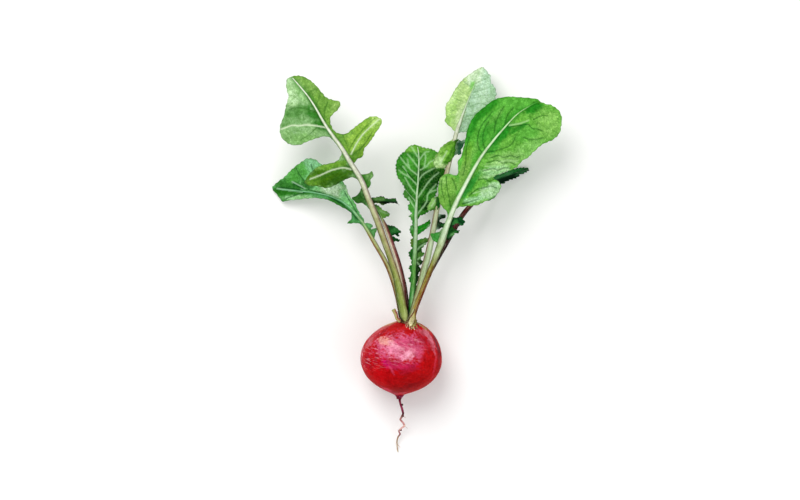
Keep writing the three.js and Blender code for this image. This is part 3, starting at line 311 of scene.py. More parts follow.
# How far the dressed surfaces leave the plain ones, and how wide each of these forms is
GRID_SHIFT = 0.06
KEEL_SHARE, KEEL_REACH = 0.25, 1.1
QUILT_REACH = 2.2
VEIN_SHARE, VEIN_REACH = 0.4, 0.45
CREASE_DEPTH, CREASE_REACH = 0.25, 0.5
RUFFLE_REACH = 4.5
PUCKER_DEPTH, PUCKER_REACH = 0.14, 1.7
RIDGES, RIDGE_SHARE = 9, 0.025
GROOVE_REACH = 0.45

# How near to each other the plan points of a blade may lie
SAME_PLACE = 0.06
GRID_TO_RIM = 0.3
GRID_TO_VEIN = 0.5
GRID_TO_CREASE = 0.4
VEIN_TO_RIM = 0.22


def linear(colour):
    """Linear red, green and blue of a colour written as it looks on a screen."""
    parts = np.array([(colour >> shift & 255) / 255 for shift in (16, 8, 0)])
    return np.where(parts <= 0.04045, parts / 12.92, ((parts + 0.055) / 1.055) ** 2.4)


def rgba(colour):
    """The same with full cover, for a shader."""
    return (*linear(colour), 1.0)


def unit(vectors):
    return vectors / np.linalg.norm(vectors, axis=-1, keepdims=True)


def smooth(low, high, values):
    """Share from 0 at low to 1 at high, with soft ends."""
    t = np.clip((np.asarray(values, float) - low) / (high - low), 0, 1)
    return t * t * (3 - 2 * t)


def mixed(a, b, share):
    """From a, where the share of b is 0, to b, where it is 1."""
    return a * (1 - share) + b * share


def bell(distance, reach):
    """1 at no distance, falling off smoothly over about the reach."""
    return np.exp(-(distance / reach) ** 2)


def ruffle(points, size, seed=0.0):
    """Smooth noise from -1 to 1 at each point, with lumps about size millimetres across."""
    return np.array([noise.noise(Vector(p) / size + Vector((seed, 0, 7.3))) for p in points.tolist()])


def around(sides):
    """Angles of the corners of an even ring."""
    return np.arange(sides) / sides * 2 * math.pi


def run_along(points):
    """Length of the path through the points, up to each of them."""
    return np.concatenate([[0], np.cumsum(np.linalg.norm(np.diff(points, axis=0), axis=1))])


def lengthened(points):
    """The points with one more at each end, straight on."""
    return np.vstack([2 * points[0] - points[1], points, 2 * points[-1] - points[-2]])


def to_right(way):
    """Plan direction to the right of each way."""
    return np.column_stack([way[:, 1], -way[:, 0]])


def along(points, stations, slope=False):
    """Smooth curve through the points at each station, where station 2.5 is halfway from 2 to 3."""
    p = lengthened(np.asarray(points, float))
    stations = np.clip(stations, 0, len(p) - 3)
    i = np.minimum(stations.astype(int), len(p) - 4)
    t = (stations - i)[:, None]
    start, end = (p[i + 2] - p[i]) / 2, (p[i + 3] - p[i + 1]) / 2
    square = 3 * (p[i + 2] - p[i + 1]) - 2 * start - end
    cube = 2 * (p[i + 1] - p[i + 2]) + start + end
    if slope:
        return start + 2 * square * t + 3 * cube * t * t
    return p[i + 1] + start * t + square * t * t + cube * t ** 3


def sections(line, stations):
    """Place, width, and the directions along, across and over a stalk at each station."""
    line = np.asarray(line, float)
    way = unit(along(line[:, :3], stations, slope=True))
    across = unit(np.cross(way, [0, 0, 1]))
    over = unit(np.cross(across, way))
    return along(line[:, :3], stations), along(line[:, 3:], stations)[:, 0], way, across, over


def even_stations(line, step):
    """Stations about step millimetres apart from end to end."""
    fine = np.linspace(0, len(line) - 1, len(line) * 40)
    run = run_along(along(line, fine))
    return np.interp(np.linspace(0, run[-1], max(3, int(run[-1] / step))), run, fine)


def tube_faces(rings, sides, start=0):
    """Faces of a tube of rings, capped at both ends."""
    faces = []
    for k in range(rings - 1):
        for j in range(sides):
            a, b = start + k * sides + j, start + k * sides + (j + 1) % sides
            faces.append((a, a + sides, b + sides, b))
    faces.append(tuple(range(start, start + sides)))
    faces.append(tuple(reversed(range(start + (rings - 1) * sides, start + rings * sides))))
    return faces


def rod(entries, sides, step, flatness=1.0, rough=0.0, seed=0.0):
    """Rings of a tapering rod along x, y, z, width entries, with the place along it of each point."""
    stations = even_stations([e[:3] for e in entries], step)
    at, size, _, across, over = sections(entries, stations)
    at, across, over = at[:, None], across[:, None], over[:, None]
    cos, sin = np.cos(around(sides)), np.sin(around(sides))
    half = size[:, None] / 2 * np.ones(sides)
    if rough:
        spot = at + across * cos[None, :, None] + over * sin[None, :, None]
        half = half * (1 + rough * ruffle(spot.reshape(-1, 3), 1.6, seed).reshape(half.shape))
    points = at + across * (cos * half)[..., None] + over * (sin * half * flatness)[..., None]
    return points.reshape(-1, 3), np.repeat(stations / (len(entries) - 1), sides), len(at)


def piece(name, node, points, faces, material, floats=None, colours=None, vectors=None):
    """New mesh piece that stands for a CAD node, with its values by vertex. Returns points and faces."""
    mesh = bpy.data.meshes.new(name)
    mesh.from_pydata((np.asarray(points) * MM).tolist(), [], faces)
    for kind, key, size, table in (("FLOAT", "value", 1, floats), ("FLOAT_COLOR", "color", 3, colours),
                                   ("FLOAT_VECTOR", "vector", 3, vectors)):
        for label, values in (table or {}).items():
            values = np.asarray(values, np.float32).reshape(len(points), size)
            if kind == "FLOAT_COLOR":
                values = np.column_stack([values, np.ones(len(points), np.float32)])
            mesh.attributes.new(label, kind, "POINT").data.foreach_set(key, values.ravel())
    mesh.polygons.foreach_set("use_smooth", [True] * len(mesh.polygons))
    mesh.materials.append(material)
    obj = bpy.data.objects.new(name, mesh)
    bpy.context.collection.objects.link(obj)
    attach(obj, "root")
    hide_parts(node)
    return points, faces


class Shader:
    """Material whose node tree is built by short calls."""

    def __init__(self, name, shine=None):
        self.material = bpy.data.materials.new(name)
        self.material.use_nodes = True
        self.tree = self.material.node_tree
        self.bsdf = self.tree.nodes["Principled BSDF"]
        if shine is not None:
            self.bsdf.inputs["Specular IOR Level"].default_value = shine

    def put(self, socket, value):
        if isinstance(value, bpy.types.NodeSocket):
            self.tree.links.new(value, socket)
        else:
            socket.default_value = value

    def add(self, kind, inputs=None, **settings):
        node = self.tree.nodes.new("ShaderNode" + kind)
        for key, value in settings.items():
            setattr(node, key, value)
        for key, value in (inputs or {}).items():
            self.put(node.inputs[key], value)
        return node

    def place(self):
        return self.add("TexCoord").outputs["Object"]

    def attribute(self, name, output="Fac"):
        return self.add("Attribute", attribute_name=name).outputs[output]

    def noise(self, vector, scale, detail=3.0, roughness=0.55):
        return self.add("TexNoise", {"Vector": vector, "Scale": scale, "Detail": detail,
                                     "Roughness": roughness}).outputs["Fac"]

    def span(self, value, low, high, to_low=0.0, to_high=1.0):
        return self.add("MapRange", {"Value": value, "From Min": low, "From Max": high, "To Min": to_low,
                                     "To Max": to_high}, interpolation_type="SMOOTHSTEP").outputs["Result"]

    def maths(self, how, a, b):
        node = self.add("Math", operation=how)
        self.put(node.inputs[0], a)
        self.put(node.inputs[1], b)
        return node.outputs[0]

    def times(self, a, b):
        return self.maths("MULTIPLY", a, b)

    def mix(self, share, a, b, how="MIX"):
        node = self.add("Mix", data_type="RGBA", blend_type=how)
        self.put(node.inputs[0], share)
        self.put(node.inputs[6], a)
        self.put(node.inputs[7], b)
        return node.outputs[2]

    def stain(self, colour, mask, low, high, share, tone):
        """Colour multiplied by the tone as the mask goes from low to high."""
        return self.mix(self.span(mask, low, high, 0.0, share), colour, tone, "MULTIPLY")

    def paint(self, colour, roughness, height=None, depth=0.0002, strength=0.6):
        self.put(self.bsdf.inputs["Base Color"], colour)
        self.put(self.bsdf.inputs["Roughness"], roughness)
        if height is not None:
            bump = self.add("Bump", {"Height": height, "Distance": depth, "Strength": strength})
            self.put(self.bsdf.inputs["Normal"], bump.outputs["Normal"])
        return self.material


def blade_material(name, looks):
    """Leaf blade: washes by vertex, mottling at three sizes, stray lines, a net, veins and creases."""
    s = Shader(name, shine=0.02)
    place, within = s.place(), s.attribute("net")
    (vein_colour, _), (net_colour, net_share, net_scale), (crease_colour, _) = (
        looks[key] for key in ("vein", "net", "crease"))
    white, rough = (1, 1, 1, 1), looks["mottle"]
    broad = s.span(s.noise(place, 330, 4.0, 0.6), 0.42, 0.6)
    middling = s.span(s.noise(place, 850, 4.0, 0.62), 0.44, 0.6)
    fleck = s.add("TexNoise", {"Vector": place, "Scale": 620.0, "Detail": 4.0, "Distortion": 0.8})
    fleck = s.span(fleck.outputs["Fac"], 0.5, 0.64)
    stray = s.maths("ABSOLUTE", s.maths("SUBTRACT", s.noise(place, 260, 2.0, 0.5), 0.5), 0.0)
    stray = s.span(stray, 0.0, 0.022, 1.0, 0.0)
    grain = s.noise(place, 2600, 3.0, 0.6)
    bend = s.add("TexNoise", {"Vector": place, "Scale": 500.0, "Detail": 2.0}).outputs["Color"]
    bent = s.mix(0.0022, place, bend, "ADD")
    cells = s.add("TexVoronoi", {"Vector": bent, "Scale": net_scale}, feature="DISTANCE_TO_EDGE")
    net = s.times(s.span(cells.outputs["Distance"], 0.0, 0.09, 1.0, 0.0), within)
    colour = s.attribute("wash", "Color")
    for mask, tone in ((broad, (0.54, 0.66, 0.46, 1)), (middling, (0.5, 0.63, 0.4, 1))):
        colour = s.mix(min(1, 0.62 * rough), colour, s.mix(mask, white, tone), "MULTIPLY")
    colour = s.mix(s.times(fleck, min(1, 0.75 * rough)), colour, (1.34, 1.28, 1.3, 1), "MULTIPLY")
    colour = s.mix(0.7, colour, s.span(grain, 0.38, 0.62, 1.12, 0.74), "MULTIPLY")
    colour = s.mix(s.times(s.times(stray, within), 0.35 * rough), colour, rgba(crease_colour))
    colour = s.mix(s.times(net, net_share), colour, rgba(net_colour))
    # Creases darken partly as painted shade along the folds and partly as dark veinlets
    for line, tone in (("crease", crease_colour), ("vein", vein_colour)):
        share = s.times(s.attribute(line), s.span(grain, 0.2, 0.6, 0.8, 1.0))
        colour = s.mix(share, colour, rgba(tone))
    height = s.maths("ADD", s.times(middling, 0.6), s.times(grain, 0.3))
    height = s.maths("SUBTRACT", height, s.times(net, 0.7))
    return s.paint(colour, s.span(broad, 0, 1, 0.55, 0.68), height, 0.00025, 0.5)


def stalk_material(name):
    """Stalk, crown and stub: washes by vertex, dark and pale fibres along the grain, and patches."""
    s = Shader(name, shine=0.03)
    fibre = s.noise(s.attribute("grain", "Vector"), 1.7, 5.0, 0.68)
    patch = s.noise(s.place(), 420, 4.0, 0.6)
    colour = s.stain(s.attribute("wash", "Color"), fibre, 0.5, 0.64, 0.75, (0.5, 0.54, 0.38, 1))
    colour = s.mix(s.span(fibre, 0.36, 0.48, 0.22, 0.0), colour, (0.84, 0.88, 0.66, 1))
    colour = s.stain(colour, patch, 0.48, 0.62, 0.45, (0.62, 0.64, 0.5, 1))
    return s.paint(colour, s.span(fibre, 0.3, 0.7, 0.5, 0.62), fibre, 0.0002, 0.5)


def root_material(name):
    """Root's skin: washes by vertex, blotches and clouds, and pale and deep streaks where it is streaky."""
    s = Shader(name, shine=0.012)
    place, streaky = s.place(), s.attribute("streaky")
    streak = s.noise(s.attribute("grain", "Vector"), 1.5, 5.0, 0.66)
    blotch = s.noise(place, 200, 5.0, 0.62)
    cloud = s.noise(place, 620, 5.0, 0.68)
    fine = s.noise(place, 1500, 4.0, 0.62)
    colour = s.attribute("wash", "Color")
    colour = s.stain(colour, blotch, 0.44, 0.62, 0.5, (0.62, 0.4, 0.4, 1))
    colour = s.stain(colour, cloud, 0.5, 0.62, 0.55, (0.62, 0.44, 0.44, 1))
    colour = s.stain(colour, cloud, 0.46, 0.38, 0.4, (1.35, 1.5, 1.4, 1))
    # On the pink patch on top of the globe the pale streaks are partly painted highlight, over the skin's own
    # fine lines
    for low, high, share, tone in ((0.54, 0.63, 0.5, 0xF0ACBC), (0.47, 0.37, 0.6, 0xA82450)):
        mask = s.times(s.span(streak, low, high), streaky)
        colour = s.mix(s.times(mask, share), colour, rgba(tone))
    colour = s.stain(colour, fine, 0.5, 0.64, 0.28, (0.62, 0.36, 0.4, 1))
    colour = s.stain(colour, fine, 0.46, 0.36, 0.3, (1.3, 1.2, 1.3, 1))
    height = s.maths("ADD", s.times(streak, 0.6), s.times(fine, 0.25))
    return s.paint(colour, s.span(blotch, 0.3, 0.7, 0.4, 0.52), height, 0.0002, 0.45)


def blended(points, base, washes, seed=0.0, torn=1.0):
    """Colour by vertex: the base with soft-edged washes laid over it in turn.

    A wash is x, y, reach along, reach across, turn in degrees, colour, strength."""
    colour = np.tile(linear(base), (len(points), 1)) if isinstance(base, int) else base.copy()
    ragged = ruffle(points, 3, seed) * 0.3 + ruffle(points, 1.2, seed + 5) * 0.24 * torn
    ragged = ragged + ruffle(points, 0.7, seed + 9) * 0.14 * torn
    for x, y, length, width, turn, shade, strength in washes:
        c, s = math.cos(math.radians(turn)), math.sin(math.radians(turn))
        dx, dy = points[:, 0] - x, points[:, 1] - y
        far = np.hypot((dx * c + dy * s) / length, (dy * c - dx * s) / width) + ragged
        colour = mixed(colour, linear(shade), (strength * smooth(1.3, 0.6, far))[:, None])
    return colour


def hidden(stations, side, line):
    """Plan place of a margin where it hides behind the stalk, with no rise."""
    at, size, _, across, _ = sections(line, stations)
    reach = side * np.maximum(size / 2 - WING_INSET, LEAST_REACH)
    return np.column_stack([at[:, :2] + across[:, :2] * reach[:, None], np.zeros(len(at))])


def known_margin(entries, side, line):
    """Stations of a margin's entries, which of them hide, and the plan place and rise of each."""
    marks = np.array([e[0] for e in entries], float)
    bare = np.array([len(e) == 1 for e in entries])
    known = np.array([[0, 0, 0] if len(e) == 1 else e[1:] for e in entries], float)
    known[bare] = hidden(marks[bare], side, line)
    return marks, bare, known


def margin_at(entries, side, line, stations):
    """Plan place and rise of a margin at each station, straight between the entries."""
    marks, bare, known = known_margin(entries, side, line)
    found = np.column_stack([np.interp(stations, marks, known[:, k]) for k in range(3)])
    i = np.clip(np.searchsorted(marks, stations, side="right") - 1, 0, len(marks) - 2)
    behind = bare[i] & bare[i + 1]
    if behind.any():
        found[behind] = hidden(stations[behind], side, line)
    return found


def rounded(four, share):
    """Curve from the second point of four to the third that doesn't loop where they lie unevenly."""
    gaps = np.maximum(np.linalg.norm(np.diff(four, axis=0), axis=1), LEAST_GAP)
    knot = np.concatenate([[0], np.cumsum(gaps ** 0.5)])
    t = (knot[1] + (knot[2] - knot[1]) * share)[:, None]

    def between(a, b, low, high):
        return (a * (knot[high] - t) + b * (t - knot[low])) / (knot[high] - knot[low])

    first, second, third = (between(four[k], four[k + 1], k, k + 1) for k in range(3))
    return between(between(first, second, 0, 2), between(second, third, 1, 3), 1, 2)


def toothed(points, loose, side, teeth, seed):
    """Margin points moved in and out by fine teeth, where the margin is loose from the stalk."""
    style, depth, length = teeth
    run = run_along(points)
    uneven = ruffle(np.column_stack([run, run * 0, run * 0 + seed]), 4.0)
    phase = run / length + 0.55 * uneven
    wave = {"wavy": np.sin(2 * math.pi * phase), "round": 2 * np.abs(np.sin(math.pi * phase)) - 1.2,
            "sharp": 2 * (phase % 1) - 1}[style]
    outward = to_right(unit(np.gradient(points, axis=0) + 1e-9)) * side
    return points + outward * (depth * wave * loose * (0.75 + 0.5 * uneven))[:, None]


def margin_curve(entries, side, line, teeth, seed):
    """Close-set margin points from the base to the tip, with fine teeth."""
    marks, bare, known = known_margin(entries, side, line)
    plan = lengthened(known[:, :2])
    free = np.where(bare, 0.0, 1.0)
    points, loose = [], []
    for i in range(len(marks) - 1):
        behind = bare[i] and bare[i + 1]
        gap = np.linalg.norm(known[i + 1, :2] - known[i, :2])
        share = np.arange(max(1, math.ceil(gap / (HIDDEN_STEP if behind else MARGIN_STEP))))
        share = share / len(share)
        if behind:
            points.append(hidden(marks[i] + (marks[i + 1] - marks[i]) * share, side, line)[:, :2])
        else:
            points.append(rounded(plan[i:i + 4], share))
        loose.append(mixed(free[i], free[i + 1], share))
    points = np.vstack(points + [known[-1:, :2]])
    return toothed(points, np.concatenate(loose + [[0.0]]), side, teeth, seed)


def inside(points, rim):
    """True for each plan point inside the closed outline."""
    a, b = rim, np.roll(rim, -1, axis=0)
    rise = np.where(b[:, 1] == a[:, 1], 1e-9, b[:, 1] - a[:, 1])
    found = np.zeros(len(points), bool)
    at_once = 4000
    for start in range(0, len(points), at_once):
        x, y = points[start:start + at_once, :1], points[start:start + at_once, 1:]
        spans = (a[:, 1] > y) != (b[:, 1] > y)
        cut = a[:, 0] + (y - a[:, 1]) * (b[:, 0] - a[:, 0]) / rise
        found[start:start + at_once] = (spans & (x < cut)).sum(axis=1) % 2 == 1
    return found


def tree_of(points):
    """Search tree of plan points."""
    tree = kdtree.KDTree(len(points))
    for i, p in enumerate(points.tolist()):
        tree.insert((p[0], p[1], 0), i)
    tree.balance()
    return tree


def nearest_in(tree, points):
    """Plan distance to the nearest point of the tree, and which one it is."""
    found = [tree.find((p[0], p[1], 0)) for p in points.tolist()]
    return np.array([f[2] for f in found]), np.array([f[1] for f in found])


def distance_to(tree, points):
    return nearest_in(tree, points)[0]


def sheet_heights(leaf, points):
    """Height of the blade's upper face over each plan point, as in the part's own source."""
    line = leaf["line"]
    marks = [e[0] for e in leaf["left"] + leaf["right"]]
    stations = np.arange(min(marks), max(marks) + 0.01, SHEET_STEP)
    at, size, _, _, _ = sections(line, stations)
    middle = (at[:, 2] - size * STALK_FLATNESS / 2 - STALK_GAP)[:, None]
    v = np.linspace(0, 1, SHEET_COLUMNS)[None, :]
    rows = []
    for side, key in ((-1, "left"), (1, "right")):
        margin = margin_at(leaf[key], side, line, stations)
        length = np.linalg.norm(margin[:, :2] - at[:, :2], axis=1)[:, None]
        x, y = (mixed(at[:, k:k + 1], margin[:, k:k + 1], v) for k in (0, 1))
        wave = RIPPLE * v * np.minimum(1, length / 8) * np.sin(x * 0.7) * np.cos(y * 0.6)
        z = middle + margin[:, 2:] * v + BLADE_ARCH * length * 4 * v * (1 - v) + wave
        rows.append(np.column_stack([x.ravel(), y.ravel(), np.maximum(z, BLADE_FLOOR).ravel()]))
    rows = np.vstack(rows)
    tree = tree_of(rows)
    heights = np.empty(len(points))
    for k, p in enumerate(points.tolist()):
        near = tree.find_n((p[0], p[1], 0), SHEET_NEIGHBOURS)
        weights = [1 / (d * d + 0.02) for _, _, d in near]
        heights[k] = sum(w * rows[i, 2] for w, (_, i, _) in zip(weights, near)) / sum(weights)
    return heights


def drawn(groups):
    """Rows of points along and beside each line, with a tree and the half widths of those along it.

    A group is the half width at the start and at the end, then the places of each of its lines."""
    rows, halves = [], []
    for start, end, *lines in groups:
        for places in lines:
            stations = even_stations(places, VEIN_STEP)
            at = along(places, stations)
            half = np.linspace(start, end, len(at))
            rows.append((at, to_right(unit(along(places, stations, slope=True))) * half[:, None]))
            halves.append(half)
    return rows, tree_of(np.vstack([at for at, _ in rows])), np.concatenate(halves)


def blade_rim(leaf, line, teeth, seed):
    """Closed outline of a blade in plan, without points that nearly coincide."""
    left = margin_curve(leaf["left"], -1, line, teeth[0], seed)
    right = margin_curve(leaf["right"], 1, line, teeth[1], seed + 3.7)
    rim = np.vstack([left, right[::-1]])
    return rim[np.linalg.norm(rim - np.roll(rim, 1, axis=0), axis=1) > SAME_PLACE]


def blade_points(rim, rim_tree, veins, creases):
    """Plan points of a blade: its rim, a slightly uneven grid, and rows on and beside its lines."""
    low, high = rim.min(axis=0), rim.max(axis=0)
    rows, columns = np.arange(low[1], high[1], ROW_STEP), np.arange(low[0], high[0], GRID)
    grid = np.array([[x + (k % 2) * GRID / 2, y] for k, y in enumerate(rows) for x in columns])
    grid = grid + GRID_SHIFT * np.column_stack([np.sin(grid[:, 1] * 17), np.cos(grid[:, 0] * 13)])
    grid = grid[inside(grid, rim)]
    for tree, room in ((rim_tree, GRID_TO_RIM), (veins[1], GRID_TO_VEIN), (creases[1], GRID_TO_CREASE)):
        grid = grid[distance_to(tree, grid) > room]
    points = [rim, grid]
    for at, beside in veins[0] + creases[0]:
        close = np.vstack([at, at + beside, at - beside])
        close = close[inside(close, rim)]
        points.append(close[distance_to(rim_tree, close) > VEIN_TO_RIM])
    return np.vstack(points)


def triangulated(points, count):
    """Triangles between plan points, of which the first ones are the closed rim, all turned one way."""
    loop = [(i, (i + 1) % count) for i in range(count)]
    found = geometry.delaunay_2d_cdt([Vector(p) for p in points.tolist()], loop, [], 1, 1e-4)
    plan = np.array([(v.x, v.y) for v in found[0]])
    corners = np.array([tuple(f) for f in found[2]])
    a, b, c = (plan[corners[:, k]] for k in range(3))
    turned = (b[:, 0] - a[:, 0]) * (c[:, 1] - a[:, 1]) - (c[:, 0] - a[:, 0]) * (b[:, 1] - a[:, 1]) < 0
    corners[turned] = corners[turned][:, ::-1]
    return plan, corners


def edges_of(corners):
    """Each edge of the triangles once, and apart from that the edges that have one triangle only."""
    sides = np.vstack([corners[:, [0, 1]], corners[:, [1, 2]], corners[:, [2, 0]]])
    key = np.sort(sides, axis=1)
    _, where, count = np.unique(key, axis=0, return_index=True, return_counts=True)
    return key[where], sides[where[count == 1]]


def levelled(z, links):
    """Heights evened out along the links between neighbours."""
    degree = np.bincount(links.ravel(), minlength=len(z))
    for _ in range(LEVELLING_ROUNDS):
        total = np.zeros(len(z))
        np.add.at(total, links[:, 0], z[links[:, 1]])
        np.add.at(total, links[:, 1], z[links[:, 0]])
        z = 0.4 * z + 0.6 * total / np.maximum(degree, 1)
    return z


class Nearness:
    """How far each plan point of a blade is from its rib, rim, veins and creases."""

    def __init__(self, plan, line, rim_tree, veins, creases):
        at, size, _, across, _ = sections(line, even_stations(line[:, :3], RIB_STEP))
        distance, index = nearest_in(tree_of(at), plan)
        self.rib_width = size[index]
        self.rib = distance - self.rib_width / 2
        self.side = np.sign(((plan - at[index, :2]) * across[index, :2]).sum(axis=1))
        self.rim = distance_to(rim_tree, plan)
        self.vein, index = nearest_in(veins[1], plan)
        self.vein_half = veins[2][index]
        self.crease, index = nearest_in(creases[1], plan)
        self.crease_half = creases[2][index]


def dressed_heights(z, plan, near, looks, seed):
    """Keel where the blade joins the rib, quilting between the veins and a ruffled margin."""
    past_rib = np.maximum(near.rib, 0)
    z = z + bell(past_rib, KEEL_REACH) * (STALK_GAP + KEEL_SHARE * near.rib_width)
    quilt = looks["quilt"]
    z = z + quilt * (1 - bell(np.minimum(near.vein, past_rib), QUILT_REACH))
    z = z - quilt * VEIN_SHARE * bell(near.vein, VEIN_REACH)
    z = z - CREASE_DEPTH * bell(near.crease, CREASE_REACH)
    flat = np.column_stack([plan, np.zeros(len(plan))])
    wave = looks["ruffle"] * ruffle(flat, RUFFLE_REACH, seed)
    z = z + wave * smooth(9, 1, near.rim) * smooth(0.3, 3, near.rib)
    z = z + PUCKER_DEPTH * ruffle(flat, PUCKER_REACH, seed + 9) * smooth(0.2, 1.5, near.rib)
    return np.maximum(z, BLADE_FLOOR)


def underside(top, corners, edge):
    """Underside of a blade, thinner at the edge."""
    normal = np.zeros_like(top)
    a, b, c = (top[corners[:, k]] for k in range(3))
    for k in range(3):
        np.add.at(normal, corners[:, k], np.cross(b - a, c - a))
    under = top - unit(normal) * BLADE_THICKNESS
    rimmed = np.unique(edge)
    under[rimmed] = top[rimmed] - [0, 0, RIM_THICKNESS]
    under[:, 2] = np.maximum(under[:, 2], UNDERSIDE_FLOOR)
    return under


def blade_colour(top, near, looks, seed):
    """Colour of the upper face: its washes, darker at the rim and beside the rib."""
    base = np.where((near.side < 0)[:, None], *(linear(tone) for tone in looks["base"]))
    colour = blended(top, base, looks["washes"], seed)
    colour = colour * (1 - 0.3 * smooth(0.7, 0.05, near.rim) * (near.rib > 0.3))[:, None]
    shade = looks["rib_shade"] * bell(np.maximum(near.rib + 0.3, 0), 0.9)
    return colour * (1 - shade[:, None] * np.array([1, 0.7, 1]))


def line_share(distance, half):
    """How much of a vein or crease shows at a distance from its middle."""
    return np.clip(1.3 - distance / (half * 1.3), 0, 1)


def make_blade(name, node, leaf, looks, seed):
    """Blade with an upper face, an underside and a rim, puckered and tinted as its looks say."""
    line = np.asarray(leaf["line"], float)
    rim = blade_rim(leaf, line, looks["teeth"], seed)
    rim_tree = tree_of(rim)
    veins, creases = drawn(looks["veins"]), drawn(looks["creases"])
    plan, corners = triangulated(blade_points(rim, rim_tree, veins, creases), len(rim))
    links, edge = edges_of(corners)
    near = Nearness(plan, line, rim_tree, veins, creases)
    z = dressed_heights(levelled(sheet_heights(leaf, plan), links), plan, near, looks, seed)
    top = np.column_stack([plan, z])
    colour = blade_colour(top, near, looks, seed)
    vein = line_share(near.vein, near.vein_half) * looks["vein"][1] * smooth(0.0, 0.6, near.rim)
    crease = line_share(near.crease, near.crease_half) * looks["crease"][1]
    net = smooth(0.2, 1.4, near.rim) * smooth(0.1, 0.8, near.rib)
    shift = len(top)
    faces = corners.tolist() + (corners[:, ::-1] + shift).tolist()
    faces += [[q, p, p + shift, q + shift] for p, q in edge.tolist()]
    points = np.vstack([top, underside(top, corners, edge)])
    return piece(name, node, points, faces, blade_material(name, looks),
                 floats={"vein": np.concatenate([vein, vein * 0.6]), "net": np.concatenate([net, net]),
                         "crease": np.concatenate([crease, crease * 0.3])},
                 colours={"wash": np.vstack([colour, colour * 0.7 + linear(0xA9C29A) * 0.3])})


def stop_tones(stops, station, from_left):
    """Colour around a stalk at a station: from the stops before and after it, and across from the left."""
    share = np.interp(station, [stop[0] for stop in stops], np.arange(float(len(stops))))
    i = min(int(share), len(stops) - 2)
    low, high = (np.array([linear(tone) for tone in stop[1:]]) for stop in stops[i:i + 2])
    tones = low + (high - low) * (share - i)
    places = np.linspace(0, 1, len(tones))
    return np.column_stack([np.interp(from_left, places, tones[:, n]) for n in range(3)])


def make_stalk(name, line, looks, seed):
    """Stalk that runs on as the midrib: grooved on top, ridged with fibres, tinted from side to side, partly
    as painted highlight and shade.
    """
    line = np.asarray(line, float)
    line[0] = looks.get("foot", line[0])
    stations = even_stations(line[:, :3], STALK_STEP)
    at, size, _, across, over = sections(line, stations)
    at = at + across * np.interp(stations, *zip(*looks.get("shift", [(0, 0), (1, 0)])))[:, None]
    run = run_along(at)
    angle = around(STALK_SIDES)
    cos, sin = np.cos(angle), np.sin(angle)
    groove = bell(angle - math.pi / 2, GROOVE_REACH)
    points, grain, colour = [], [], []
    for k, station in enumerate(stations):
        free = 1 - station / (len(line) - 1)
        slim = np.interp(station, *zip(*looks["slim"]))
        half = size[k] / 2 * slim * (1 + 0.05 * noise.noise(Vector((run[k] / 5, seed, 0))))
        ridge = 1 + RIDGE_SHARE * np.cos(RIDGES * angle + seed) - looks["groove"] * free * groove
        points.append(at[k] + across[k] * (cos * half * ridge)[:, None]
                      + over[k] * (sin * half * STALK_FLATNESS * ridge)[:, None])
        lengthwise = np.full(STALK_SIDES, run[k] * 0.14 + seed)
        grain.append(np.column_stack([cos * half * 2.4, sin * half * 2.4, lengthwise]))
        # Colours across the stalk: the pale middle is partly a painted highlight, the dark edges partly
        # painted shade
        colour.append(stop_tones(looks["stops"], station, (cos + 1) / 2))
    return piece(name + "_rib", name + "_stalk", np.vstack(points), tube_faces(len(points), STALK_SIDES),
                 stalk_material(name + "_rib"), colours={"wash": np.vstack(colour)},
                 vectors={"grain": np.vstack(grain)})
